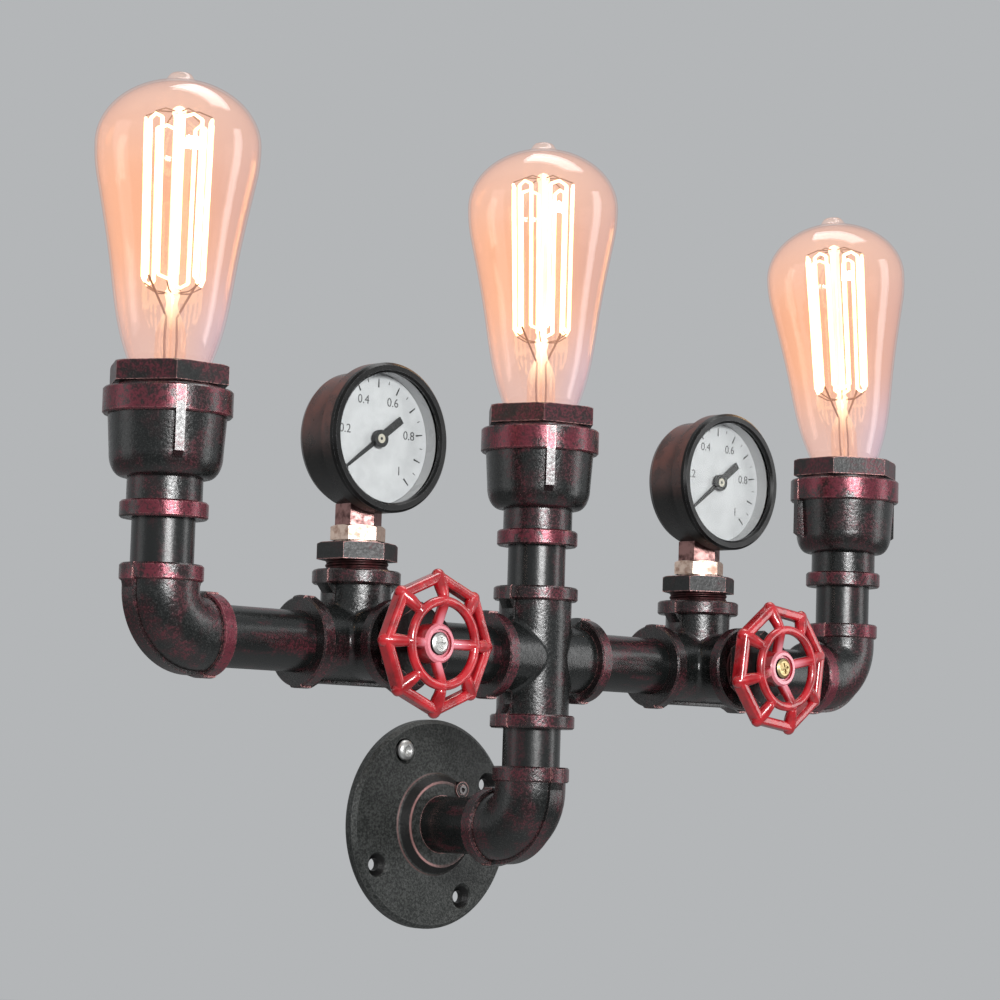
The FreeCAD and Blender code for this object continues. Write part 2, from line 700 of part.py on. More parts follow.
def bushing(bore):
    """A hexagon bushing screwed into a tee's port."""
    foot = TEE_REACH - THREAD_DEPTH
    neck = turned([(0, foot), (PIPE_OD / 2 - END_CHAMFER, foot), (PIPE_OD / 2, foot + END_CHAMFER),
                   (PIPE_OD / 2, TEE_REACH + BUSHING_NECK), (0, TEE_REACH + BUSHING_NECK)])
    body = neck.fuse(hexagon(BUSHING_FLATS, TEE_REACH + BUSHING_NECK, BUSHING_TOP))
    return body.cut(cylinder(bore / 2, foot, BUSHING_TOP))


def lock_nut():
    """The nut that locks a gauge in its bushing."""
    face = cylinder(NUT_FACE_OD / 2, BUSHING_TOP, BUSHING_TOP + NUT_FACE)
    body = face.fuse(hexagon(NUT_FLATS, BUSHING_TOP + NUT_FACE, NUT_TOP))
    return body.cut(cylinder(GAUGE_THREAD_OD / 2 + THREAD_CLEARANCE, BUSHING_TOP, NUT_TOP))


def gauge_stem():
    """The gauge's brass stem: thread, hexagon shank, and the socket block inside the case."""
    thread = cylinder(GAUGE_THREAD_OD / 2, TEE_REACH, NUT_TOP)
    shank = hexagon(SHANK_FLATS, NUT_TOP, NUT_TOP + SHANK_SHOWN + SHANK_FLATS / 4)
    drum = aimed(cylinder(CASE_OD / 2, -CASE_OD, CASE_OD), FRONT, V(0, 0, GAUGE_HEIGHT))
    outside = thread.fuse(shank).cut(drum)
    inside_foot = GAUGE_HEIGHT - CASE_OD / 2 + CASE_WALL + SOCKET_CLEAR
    depth = SOCKET_BACK + SOCKET_FRONT
    socket = Part.makeBox(SOCKET_WIDTH, depth, GAUGE_HEIGHT - SOCKET_TOP_DROP - inside_foot,
                          V(-SOCKET_WIDTH / 2, -SOCKET_FRONT, inside_foot))
    neck = cylinder(SOCKET_NECK_OD / 2, NUT_TOP, inside_foot + SOCKET_CLEAR)
    socket = socket.fuse(neck.cut(behind_socket(inside_foot)))
    return outside.fuse(socket).removeSplitter()


def behind_socket(height):
    """The space behind the socket block, above a height."""
    return Part.makeBox(CASE_OD, CASE_OD, CASE_OD, V(-CASE_OD / 2, SOCKET_BACK, height))


def gauge_case():
    """The drawn steel drum with its back, turned lip and stem hole; Z points ahead."""
    outer = CASE_OD / 2
    inner = outer - CASE_WALL
    lip = CASE_FRONT - CASE_LIP
    body = turned([(0, -CASE_BACK), (outer - CASE_CORNER, -CASE_BACK),
                   (outer - CASE_CORNER / 3, CASE_CORNER / 3 - CASE_BACK),
                   (outer, CASE_CORNER - CASE_BACK), (outer, lip), (CASE_LIP_OD / 2, lip),
                   (CASE_LIP_OD / 2, CASE_FRONT), (inner, CASE_FRONT),
                   (inner, CASE_CORNER - CASE_BACK),
                   (inner - CASE_CORNER / 3, CASE_CORNER / 3 + CASE_WALL - CASE_BACK),
                   (inner - CASE_CORNER, CASE_WALL - CASE_BACK), (0, CASE_WALL - CASE_BACK)])
    down = V(0, -1, 0)
    return body.cut(aimed(cylinder(SOCKET_NECK_OD / 2 + FIT_GAP, 0, CASE_OD), down))


def gauge_bezel():
    """The ring that clamps the lens on the case; Z points ahead."""
    front = CASE_FRONT + LENS_THICKNESS + BEZEL_LIP
    outer = BEZEL_OD / 2
    bore = CASE_LIP_OD / 2 + FIT_GAP
    window = BEZEL_WINDOW / 2
    return turned([(bore, front - BEZEL_DEPTH), (outer, front - BEZEL_DEPTH),
                   (outer, front - BEZEL_ROUND), (outer - BEZEL_ROUND, front),
                   (window + BEZEL_LIP / 2, front), (window, front - BEZEL_LIP / 2),
                   (window, front - BEZEL_LIP), (bore, front - BEZEL_LIP)])


def gauge_lens():
    """The clear disc between the case's lip and the bezel; Z points ahead."""
    return cylinder(CASE_LIP_OD / 2, CASE_FRONT, CASE_FRONT + LENS_THICKNESS)


def gauge_dial():
    """The dial plate inside the case; Z points ahead."""
    radius = CASE_OD / 2 - CASE_WALL - FIT_GAP
    return tube(radius, DIAL_HOLE / 2, DIAL_FRONT - DIAL_THICKNESS, DIAL_FRONT)


def gauge_movement():
    """Movement plate on the socket block, with dial posts and the pointer's bearing."""
    foot = SOCKET_FRONT
    plate_top = foot + PLATE_THICKNESS
    dial_back = DIAL_FRONT - DIAL_THICKNESS
    plate = cylinder(PLATE_OD / 2, foot, plate_top)
    bearing = cylinder(BEARING_OD / 2, plate_top, dial_back - BEARING_STOP)
    body = plate.fuse(bearing)
    for side in SIDES.values():
        post = cylinder(POST_OD / 2, plate_top, dial_back)
        body = body.fuse(shifted(post, V(side * POST_RADIUS, 0, 0)))
    return body.cut(cylinder(ARBOR_OD / 2 + RUNNING_CLEARANCE, foot, dial_back))


def bourdon_tube():
    """The bent tube that moves the gauge, from the socket block round to its free end."""
    low = SOCKET_FRONT - TUBE_WIDTH - TUBE_BEHIND
    section = Part.makePolygon([V(TUBE_RADIUS, 0, low), V(TUBE_RADIUS + TUBE_THICKNESS, 0, low),
                                V(TUBE_RADIUS + TUBE_THICKNESS, 0, low + TUBE_WIDTH),
                                V(TUBE_RADIUS, 0, low + TUBE_WIDTH), V(TUBE_RADIUS, 0, low)])
    start = -math.degrees(math.acos(SOCKET_WIDTH / 4 / TUBE_RADIUS))
    ring = spun(Part.Face(section).revolve(V(0, 0, 0), UP, TUBE_SWEEP), start)
    return ring.cut(Part.makeBox(SOCKET_WIDTH, CASE_OD, CASE_OD,
                                 V(-SOCKET_WIDTH / 2, -CASE_OD, -CASE_OD / 2)))


def gauge_pointer():
    """Arbor, hub, needle with a square head, and broad tail; Z points ahead, needle at zero."""
    foot = DIAL_FRONT + POINTER_GAP
    neck = POINTER_REACH - POINTER_HEAD
    needle = pointer_blade(POINTER_ROOT, 0, POINTER_TIP, neck, foot)
    head = pointer_blade(POINTER_HEAD_WIDTH, neck, POINTER_HEAD_WIDTH, POINTER_REACH, foot)
    tail = pointer_blade(POINTER_TAIL_WIDTH, -POINTER_TAIL, POINTER_TAIL_WIDTH, 0, foot)
    hub = cylinder(POINTER_HUB_OD / 2, foot, foot + POINTER_HUB)
    arbor = cylinder(ARBOR_OD / 2, SOCKET_FRONT + RUNNING_CLEARANCE, foot)
    return spun(needle.fuse([head, tail, hub, arbor]).removeSplitter(), POINTER_ZERO)


def pointer_blade(width, start, end_width, end, foot):
    """One flat stretch of a pointer along Y, as wide as given at its start and its end."""
    outline = [V(-width / 2, start, foot), V(width / 2, start, foot),
               V(end_width / 2, end, foot), V(-end_width / 2, end, foot)]
    return prism(outline, POINTER_THICKNESS)


# Handwheels: Z points ahead, heights are from the tee's centre

def slanted_bar(radius, inner, inner_height, outer, outer_height):
    """A round bar between two points in the XZ plane."""
    start = V(inner, 0, inner_height)
    run = V(outer, 0, outer_height) - start
    return Part.makeCylinder(radius, run.Length, start, run)


def octagon(radius, low, high):
    """An eight-sided disc with rounded corners, one corner on +X."""
    points = []
    for number in range(RIM_CORNERS):
        turn = math.radians(number * TURN / RIM_CORNERS)
        points.append(V(radius * math.cos(turn), radius * math.sin(turn), low))
    disc = prism(points, high - low)
    upright = [edge for edge in disc.Edges if abs(edge.BoundBox.ZLength - (high - low)) < SAME]
    return disc.makeFillet(RIM_CORNER_ROUND, upright)


def wheel_rim():
    """The eight-cornered outer rim with rounded edges."""
    middle = HUB_BACK + RIM_AHEAD
    low = middle - RIM_DEPTH / 2
    high = middle + RIM_DEPTH / 2
    outer = RIM_OD / 2
    ring = octagon(outer, low, high).cut(octagon(outer - RIM_WIDTH, low, high))
    flat = [edge for edge in ring.Edges if edge.BoundBox.ZLength < SAME]
    return ring.makeFillet(RIM_ROUND, flat)


def handwheel():
    """Rim, dished inner ring, bars, spokes and the hub with its square hole."""
    ring_height = HUB_BACK + RING_AHEAD
    ring_radius = RING_OD / 2
    hub_top = HUB_BACK + HUB_LENGTH
    body = wheel_rim().fuse(Part.makeTorus(ring_radius, RING_WIRE / 2, V(0, 0, ring_height)))
    bar = slanted_bar(BAR_WIRE / 2, ring_radius, ring_height,
                      RIM_OD / 2 - RIM_WIDTH / 2, HUB_BACK + RIM_AHEAD)
    spoke = slanted_bar(SPOKE_WIRE / 2, HUB_OD / 4, HUB_BACK + SPOKE_AHEAD,
                        ring_radius, ring_height)
    parts = [spun(bar, number * TURN / RIM_CORNERS) for number in range(RIM_CORNERS)]
    parts += [spun(spoke, number * TURN / SPOKES) for number in range(SPOKES)]
    parts.append(chamfered_disc(HUB_OD / 2, HUB_CHAMFER, HUB_BACK, hub_top))
    body = body.fuse(parts)
    side = SPINDLE_SQUARE + 2 * SQUARE_CLEARANCE
    body = body.cut(block(side, side, HUB_BACK, hub_top))
    return body.cut(cylinder(HUB_SINK_OD / 2, hub_top - HUB_SINK, hub_top + RING_WIRE))


def spindle():
    """The spindle that turns in the front bushing and carries the wheel on its square end."""
    seat = HUB_BACK + HUB_LENGTH - HUB_SINK
    collar_top = TEE_REACH - THREAD_DEPTH - SPINDLE_END_GAP
    square_top = seat - SQUARE_SHORT
    body = cylinder(SPINDLE_OD / 2, collar_top, HUB_BACK)
    body = body.fuse(cylinder(SPINDLE_COLLAR_OD / 2, collar_top - SPINDLE_COLLAR, collar_top))
    body = body.fuse(block(SPINDLE_SQUARE, SPINDLE_SQUARE, HUB_BACK, square_top))
    bore = SCREW_OD / 2 + THREAD_CLEARANCE / 2
    return body.cut(cylinder(bore, seat - SCREW_LENGTH - SQUARE_SHORT, square_top))


def wheel_screw():
    """The cross-head screw that holds a wheel on its spindle."""
    seat = HUB_BACK + HUB_LENGTH - HUB_SINK
    top = seat + SCREW_HEAD
    head = SCREW_HEAD_OD / 2
    body = turned([(0, seat - SCREW_LENGTH), (SCREW_OD / 2, seat - SCREW_LENGTH),
                   (SCREW_OD / 2, seat), (head, seat), (head, seat + SCREW_HEAD / 2),
                   (SCREW_DOME_OD / 2, top - SCREW_DOME), (0, top)])
    slot = block(SCREW_CROSS, SCREW_CROSS_WIDTH, top - SCREW_CROSS_DEPTH, top)
    return body.cut(slot.fuse(spun(slot, TURN / 4)))


# Leads

def lead(name, corners, radii):
    """A round lead along straight runs joined by tangent arcs, ending square."""
    edges = []
    start = corners[0]
    for corner, after, radius in zip(corners[1:], corners[2:], radii):
        arrive = (corner - start).normalize()
        leave = (after - corner).normalize()
        enter = corner - arrive * radius
        depart = corner + leave * radius
        middle = corner + (leave - arrive) * (radius * (1 - math.sqrt(0.5)))
        edges.append(Part.LineSegment(start, enter).toShape())
        edges.append(Part.Arc(enter, middle, depart).toShape())
        start = depart
    edges.append(Part.LineSegment(start, corners[-1]).toShape())
    path = Part.Wire(edges)
    facing = (corners[1] - corners[0]).normalize()
    circle = Part.Wire(Part.makeCircle(LEAD_OD / 2, corners[0], facing))
    solid = path.makePipeShell([circle], True, False)
    expected = math.pi * (LEAD_OD / 2) ** 2 * path.Length
    print(name, "length", round(path.Length, 1), "bend radii", radii,
          "volume over section times length", round(solid.Volume / expected, 4))
    return solid


def side_lead(name):
    """The lead from the flange to a side lamp."""
    side = SIDES[name]
    column = -COLUMN_AHEAD - SIDE_LEAD_AHEAD
    near = side * SIDE_LEAD_APART
    far = side * (LAMP_OFFSET + SIDE_LEAD_APART)
    arm = ARM_HEIGHT - SIDE_LEAD_APART
    end = ARM_HEIGHT + ELBOW_REACH + LAMP_SHOWN + BELL_FLOOR
    corners = [V(near, -LEAD_START, -SIDE_LEAD_AHEAD), V(near, column, -SIDE_LEAD_AHEAD),
               V(near, column, arm), V(far, column, arm), V(far, column, end)]
    radii = [ELBOW_BEND + SIDE_LEAD_AHEAD, SIDE_LEAD_BEND, ELBOW_BEND + SIDE_LEAD_APART]
    return lead(name + " lead", corners, radii)


def center_lead():
    """The lead from the flange straight up to the middle lamp."""
    column = -COLUMN_AHEAD + CENTER_LEAD_BACK
    end = ARM_HEIGHT + TEE_REACH + LAMP_SHOWN + BELL_FLOOR
    corners = [V(0, -LEAD_START, CENTER_LEAD_BACK), V(0, column, CENTER_LEAD_BACK),
               V(0, column, end)]
    return lead("center lead", corners, [ELBOW_BEND - CENTER_LEAD_BACK])


# Where each piece goes

def on_column(shape, height, offset=0.0):
    """Set a shape down in the column plane."""
    return shifted(shape, V(offset, -COLUMN_AHEAD, height))


def lamp_place(lamp):
    """How far right the lamp's axis is, and the height of its bell's foot."""
    side = LAMPS[lamp]
    reach = ELBOW_REACH if side else TEE_REACH
    return side * LAMP_OFFSET, ARM_HEIGHT + reach + LAMP_SHOWN


def lead_end(lamp):
    """Where the lead comes up under a lampholder, from the lamp's axis."""
    side = LAMPS[lamp]
    if side:
        return V(side * SIDE_LEAD_APART, -SIDE_LEAD_AHEAD, 0)
    return V(0, CENTER_LEAD_BACK, 0)


def support_nodes():
    """Flange, wall pipe, base elbow, riser and cross."""
    return {"wall_flange": flange(), "flange_set_screw": set_screw(),
            "wall_nipple": aimed(wall_pipe(), FRONT),
            "base_elbow": on_column(spun(elbow(), TURN / 4), 0),
            "riser_nipple": on_column(nipple(RISER_SHOWN), ELBOW_REACH),
            "cross_fitting": on_column(cross_fitting(), ARM_HEIGHT)}


def wall_pipe():
    """The wall pipe, from the lip in the flange to the shoulder in the base elbow."""
    foot = FLANGE_LIP
    top = COLUMN_AHEAD - ELBOW_REACH + THREAD_DEPTH
    return tube(PIPE_OD / 2, PIPE_BORE / 2, foot, top)


def arm_nodes(name):
    """One arm: inner pipe, tee, outer pipe and elbow."""
    side = SIDES[name]
    outward = RIGHT * side
    inner = aimed(nipple(INNER_SHOWN), outward)
    outer = aimed(nipple(OUTER_SHOWN), outward)
    bend = elbow() if side < 0 else spun(elbow(), TURN / 2)
    return {name + "_inner_nipple": on_column(inner, ARM_HEIGHT, side * TEE_REACH),
            name + "_tee": on_column(tee(), ARM_HEIGHT, side * TEE_OFFSET),
            name + "_outer_nipple": on_column(outer, ARM_HEIGHT, side * (TEE_OFFSET + TEE_REACH)),
            name + "_elbow": on_column(bend, ARM_HEIGHT, side * LAMP_OFFSET)}


def lamp_nodes(lamp):
    """One lamp: pipe, bell reducer, collar, lampholder and bulb."""
    offset, foot = lamp_place(lamp)
    pieces = {"_bell_reducer": bell_reducer(RIB_AT[lamp]),
              "_hex_collar": hex_collar(COLLAR_AT[lamp]),
              "_lampholder": lampholder(lead_end(lamp)),
              "_bulb_cap": bulb_cap(),
              "_bulb_glass": leaned(bulb_glass(), lamp),
              "_bulb_mount": leaned(bulb_mount(), lamp)}
    nodes = {lamp + key: on_column(shape, foot, offset) for key, shape in pieces.items()}
    nodes[lamp + "_lamp_nipple"] = on_column(nipple(LAMP_SHOWN), foot - LAMP_SHOWN, offset)
    return nodes


def gauge_nodes(name):
    """One gauge: stem, case, bezel, lens, dial and pointer."""
    offset = SIDES[name] * TEE_OFFSET
    pieces = {"_gauge_case": gauge_case(), "_gauge_bezel": gauge_bezel(),
              "_gauge_lens": gauge_lens(), "_gauge_dial": gauge_dial(),
              "_gauge_pointer": gauge_pointer()}
    nodes = {name + key: on_gauge(shape, name) for key, shape in pieces.items()}
    nodes[name + "_gauge_stem"] = on_column(gauge_stem(), ARM_HEIGHT, offset)
    return nodes


def on_gauge(shape, name):
    """Set a shape whose Z points ahead on a gauge's axis."""
    offset = SIDES[name] * TEE_OFFSET
    return on_column(aimed(shape, FRONT), ARM_HEIGHT + GAUGE_HEIGHT, offset)


def on_front_port(shape, name):
    """Set a shape whose Z points ahead on a tee's front port."""
    return on_column(aimed(shape, FRONT), ARM_HEIGHT, SIDES[name] * TEE_OFFSET)


def wheel_nodes(name):
    """One handwheel with its spindle and screw."""
    turn = WHEEL_TURN[name]
    pieces = {"_handwheel": handwheel(), "_wheel_spindle": spindle(), "_wheel_screw": wheel_screw()}
    return {name + key: on_front_port(spun(shape, turn), name) for key, shape in pieces.items()}


def grouped_nodes():
    """Pieces of one kind that share a node, and the leads."""
    lamp_pieces = {"lampholder_shells": screw_shell(), "lampholder_contacts": center_contact()}
    nodes = {}
    for key, shape in lamp_pieces.items():
        places = [lamp_place(lamp) for lamp in LAMPS]
        nodes[key] = [on_column(shape, foot, offset) for offset, foot in places]
    gauge_port = bushing(GAUGE_THREAD_OD + 2 * THREAD_CLEARANCE)
    wheel_port = bushing(SPINDLE_OD + 2 * RUNNING_CLEARANCE)
    nodes["gauge_bushings"] = [on_column(gauge_port, ARM_HEIGHT, side * TEE_OFFSET)
                               for side in SIDES.values()]
    nodes["gauge_lock_nuts"] = [on_column(lock_nut(), ARM_HEIGHT, side * TEE_OFFSET)
                                for side in SIDES.values()]
    nodes["wheel_bushings"] = [on_front_port(wheel_port, name) for name in SIDES]
    nodes["gauge_movements"] = [on_gauge(shape, name) for name in SIDES
                                for shape in (gauge_movement(), bourdon_tube())]
    nodes["lamp_leads"] = [side_lead("left"), center_lead(), side_lead("right")]
    return {key: Part.makeCompound(shapes) for key, shapes in nodes.items()}


def all_nodes():
    """Every piece of the light by name."""
    nodes = support_nodes()
    for name in SIDES:
        nodes.update(arm_nodes(name))
        nodes.update(gauge_nodes(name))
        nodes.update(wheel_nodes(name))
    for lamp in LAMPS:
        nodes.update(lamp_nodes(lamp))
    nodes.update(grouped_nodes())
    return nodes


os.makedirs("parts", exist_ok=True)
for node, shape in all_nodes().items():
    shape.exportStep("parts/" + node + ".step")
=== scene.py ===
import math

import bpy
from mathutils import Matrix, Vector


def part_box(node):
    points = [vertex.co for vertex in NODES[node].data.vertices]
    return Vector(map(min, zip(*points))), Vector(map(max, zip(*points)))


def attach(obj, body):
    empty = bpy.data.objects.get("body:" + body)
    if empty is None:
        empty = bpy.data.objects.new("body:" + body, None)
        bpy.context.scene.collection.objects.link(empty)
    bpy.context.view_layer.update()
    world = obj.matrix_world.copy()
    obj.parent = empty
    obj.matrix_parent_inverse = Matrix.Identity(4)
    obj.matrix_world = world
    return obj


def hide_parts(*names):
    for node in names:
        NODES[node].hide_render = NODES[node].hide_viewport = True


# Finish of the industrial pipe wall light, its fine pieces, and the studio round it.
# Metres, in the frame of the part: +Y into the wall, +X right as seen from the front, +Z up.

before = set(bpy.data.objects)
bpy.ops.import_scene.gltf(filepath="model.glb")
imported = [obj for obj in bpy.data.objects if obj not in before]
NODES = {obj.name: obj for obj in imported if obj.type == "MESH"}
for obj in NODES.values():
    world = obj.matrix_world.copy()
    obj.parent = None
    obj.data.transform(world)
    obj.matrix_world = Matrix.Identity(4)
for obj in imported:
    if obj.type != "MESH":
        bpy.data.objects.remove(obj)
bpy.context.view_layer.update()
MM = 0.001
SIDES = ("left", "right")
LAMPS = ("left", "center", "right")
ORIGIN = Vector((0, 0, 0))
AHEAD = Vector((0, -1, 0))
UP = Vector((0, 0, 1))
RIGHT = Vector((1, 0, 0))
WALL, DOWN, LEFT = -AHEAD, -UP, -RIGHT


# Places

def middle_of(node):
    """The middle of a node's box."""
    low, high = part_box(node)
    return (low + high) / 2


def around(turn, radius, height):
    """A point round the Z axis."""
    return Vector((radius * math.cos(turn), radius * math.sin(turn), height))


def facing(place, direction):
    """Matrix that points Z ahead, or leaves it up, with the origin at a place."""
    if direction == AHEAD:
        return Matrix.Translation(place) @ Matrix.Rotation(math.radians(90), 4, "X")
    return Matrix.Translation(place)


# Node trees

# Sockets of a colour mix node
MIX_SHARE, MIX_FIRST, MIX_SECOND, MIX_RESULT = 0, 6, 7, 2
EDGE_SAMPLES = 6
# How far the normal bends where an edge starts to show, and where it shows fully
EDGE_LOW, EDGE_HIGH = 0.03, 0.30
# Most of a noise pattern lies between these values; two tones meet within the narrower ones
NOISE_LOW, NOISE_HIGH = 0.3, 0.7
TONE_LOW, TONE_HIGH = 0.35, 0.65


def opaque(value):
    """A colour with its alpha; a socket or a plain value as it is."""
    return value + (1.0,) if isinstance(value, tuple) and len(value) == 3 else value


def lifted(tone, gain, lift=0.0):
    """A lighter or darker colour."""
    return tuple(min(1.0, part * gain + lift) for part in tone)


class Paint:
    """One material's node tree, fed with sockets or plain values."""

    def __init__(self, name):
        self.material = bpy.data.materials.new(name)
        self.material.use_nodes = True
        self.tree = self.material.node_tree
        self.shader = self.tree.nodes["Principled BSDF"]
        self.surface = self.tree.nodes["Material Output"].inputs["Surface"]
        self.place = self.node("ShaderNodeTexCoord").outputs["Object"]
        geometry = self.node("ShaderNodeNewGeometry")
        self.normal = geometry.outputs["Normal"]
        self.behind = geometry.outputs["Backfacing"]

    def node(self, kind, **settings):
        """A new node with its settings."""
        made = self.tree.nodes.new(kind)
        for key, value in settings.items():
            setattr(made, key, value)
        return made

    def feed(self, socket, value):
        """Link a socket to another, or set its value."""
        if isinstance(value, bpy.types.NodeSocket):
            self.tree.links.new(value, socket)
        else:
            socket.default_value = value

    def filled(self, kind, *values, **settings):
        """A new node fed in the order of its inputs."""
        made = self.node(kind, **settings)
        for socket, value in zip(made.inputs, values):
            self.feed(socket, value)
        return made

    def named(self, kind, **values):
        """The first output of a new node fed by its inputs' names; None leaves one as it is."""
        made = self.node(kind)
        for key, value in values.items():
            if value is not None:
                self.feed(made.inputs[key], opaque(value))
        return made.outputs[0]

    def set(self, **values):
        """Feed the shader's inputs, whose names have _ for a space."""
        for key, value in values.items():
            self.feed(self.shader.inputs[key.replace("_", " ")], opaque(value))

    def math(self, operation, first, second=0.0, third=0.0):
        """One sum."""
        return self.filled("ShaderNodeMath", first, second, third, operation=operation).outputs[0]

    def both(self, first, second):
        """Where both masks are."""
        return self.math("MULTIPLY", first, second)

    def either(self, first, second):
        """Where one mask or the other is."""
        return self.math("MAXIMUM", first, second)

    def vector(self, operation, first, second=ORIGIN):
        """One vector sum's node."""
        return self.filled("ShaderNodeVectorMath", first, second, operation=operation)

    def dot(self, first, second):
        """The dot product of two vectors."""
        return self.vector("DOT_PRODUCT", first, second).outputs["Value"]

    def span(self, value, low, high, low_out=0.0, high_out=1.0):
        """A value carried smoothly from one range to another."""
        return self.filled("ShaderNodeMapRange", value, low, high, low_out, high_out,
                           interpolation_type="SMOOTHSTEP").outputs[0]

    def between(self, value, start, full, fading, end, share=1.0):
        """Mask that rises from start to full and falls from fading to end."""
        return self.both(self.span(value, start, full), self.span(value, fading, end, share, 0.0))

    def varied(self, pattern, low, high):
        """A value that follows a noise pattern from low to high."""
        return self.span(pattern, NOISE_LOW, NOISE_HIGH, low, high)

    def noise(self, size, detail=3.0, roughness=0.55, stretch=None):
        """Noise whose patches are about one size across, in metres."""
        place = self.place
        if stretch:
            place = self.named("ShaderNodeMapping", Vector=place, Scale=Vector(stretch))
        return self.named("ShaderNodeTexNoise", Vector=place, Scale=1.0 / size, Detail=detail,
                          Roughness=roughness)

    def blend(self, share, first, second):
        """A colour between two colours."""
        made = self.node("ShaderNodeMix", data_type="RGBA")
        for index, value in ((MIX_SHARE, share), (MIX_FIRST, first), (MIX_SECOND, second)):
            self.feed(made.inputs[index], opaque(value))
        return made.outputs[MIX_RESULT]

    def mottled(self, pattern, tones, low=TONE_LOW, high=TONE_HIGH):
        """The first tone where the pattern is low, the second where it is high."""
        return self.blend(self.span(pattern, low, high), *tones)

    def bump(self, height, distance, under=None):
        """A bumped normal; the height is a share of the distance, in metres."""
        return self.named("ShaderNodeBump", Height=height, Distance=distance, Normal=under)

    def edges(self, radius, low=EDGE_LOW, high=EDGE_HIGH):
        """How near a convex or concave edge is, 0 to 1."""
        rounded = self.filled("ShaderNodeBevel", radius, samples=EDGE_SAMPLES).outputs["Normal"]
        return self.span(self.math("SUBTRACT", 1.0, self.dot(rounded, self.normal)), low, high)

    def along(self, direction, origin=ORIGIN):
        """Distance along a direction from a point."""
        return self.math("SUBTRACT", self.dot(self.place, direction), origin.dot(direction))

    def spoke(self, middle):
        """The way out from an axis that runs ahead through a point."""
        offset = self.vector("SUBTRACT", self.place, middle).outputs["Vector"]
        return self.vector("MULTIPLY", offset, RIGHT + UP).outputs["Vector"]

    def radius(self, middle):
        """How far out it is from an axis that runs ahead through a point."""
        return self.vector("LENGTH", self.spoke(middle)).outputs["Value"]

    def gloss_share(self, index, normal=None):
        """Share of light that a thin glass wall throws back, the same from either side."""
        seen = self.filled("ShaderNodeMapRange", self.behind, 0.0, 1.0, index, 1.0 / index)
        return self.named("ShaderNodeFresnel", IOR=seen.outputs[0], Normal=normal)

    def clear(self, tint):
        """A shader that lets light straight through, tinted."""
        return self.named("ShaderNodeBsdfTransparent", Color=tint)

    def mirror(self, tone, roughness, normal=None):
        """A shader that throws light back."""
        return self.named("ShaderNodeBsdfGlossy", Color=tone, Roughness=roughness, Normal=normal)

    def lit(self, through, glow, strength=1.0):
        """A glow added to a shader, or alone where there is none."""
        light = self.named("ShaderNodeEmission", Color=glow, Strength=strength)
        if through is None:
            return light
        return self.filled("ShaderNodeAddShader", through, light).outputs[0]

    def glaze(self, share, body, mirror):
        """Finish the material as a body with a share of mirror on top."""
        self.feed(self.surface, self.filled("ShaderNodeMixShader", share, body, mirror).outputs[0])


# Iron

BLACK_IRON = (0.006, 0.007, 0.007)
IRON_SHEEN = (0.026, 0.028, 0.027)
BURGUNDY = (0.160, 0.030, 0.045)
# Pink rubbed into the flange's collar, which is also the painted highlight on casting and collar edges
PINK_RUB_AND_HIGHLIGHT = (0.70, 0.37, 0.35)
LACQUER_GLOSS = 0.52
RUBBED_METAL = 0.5
SAND_GRAIN = 1.0 * MM
SAND_DEEP = 0.09 * MM
CASTING_PATCH = 12 * MM
CASTING_WAVE = 0.22 * MM
# Where the patches' pattern starts to be rubbed and is rubbed fully, on the body and on bands
BODY_RUBBED = (0.50, 0.66)
BAND_RUBBED = (0.36, 0.54)
BAND_LEAST = 0.35
BAND_SOFT = 0.4 * MM
BAND_EDGES = 0.7
END_FACE = (0.6, 0.9)
END_FACE_WEAR = 0.2
# How much rubbing adds to the grain, and the sum's range from low grains to high ones
RUB_ON_GRAIN = 0.26
HIGH_GRAIN = (0.58, 0.76)
LOW_GRAIN_SHARE = 0.18
LYING_PIPE_WEAR = 0.6
UPRIGHT_PIPE_WEAR = 0.25
PIPE_STREAK = 0.3


def port_bands(paint, node, bands):
    """Mask of a fitting's bands; each is (direction, width) inwards from the box's side."""
    low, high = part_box(node)
    mask = None
    for direction, width in bands:
        corner = high if sum(direction) > 0 else low
        inside = paint.span(paint.along(direction, corner), -width - BAND_SOFT, -width + BAND_SOFT)
        end_face = paint.span(paint.dot(paint.normal, direction), *END_FACE, 1.0, END_FACE_WEAR)
        band = paint.both(inside, end_face)
        mask = band if mask is None else paint.either(mask, band)
    return mask


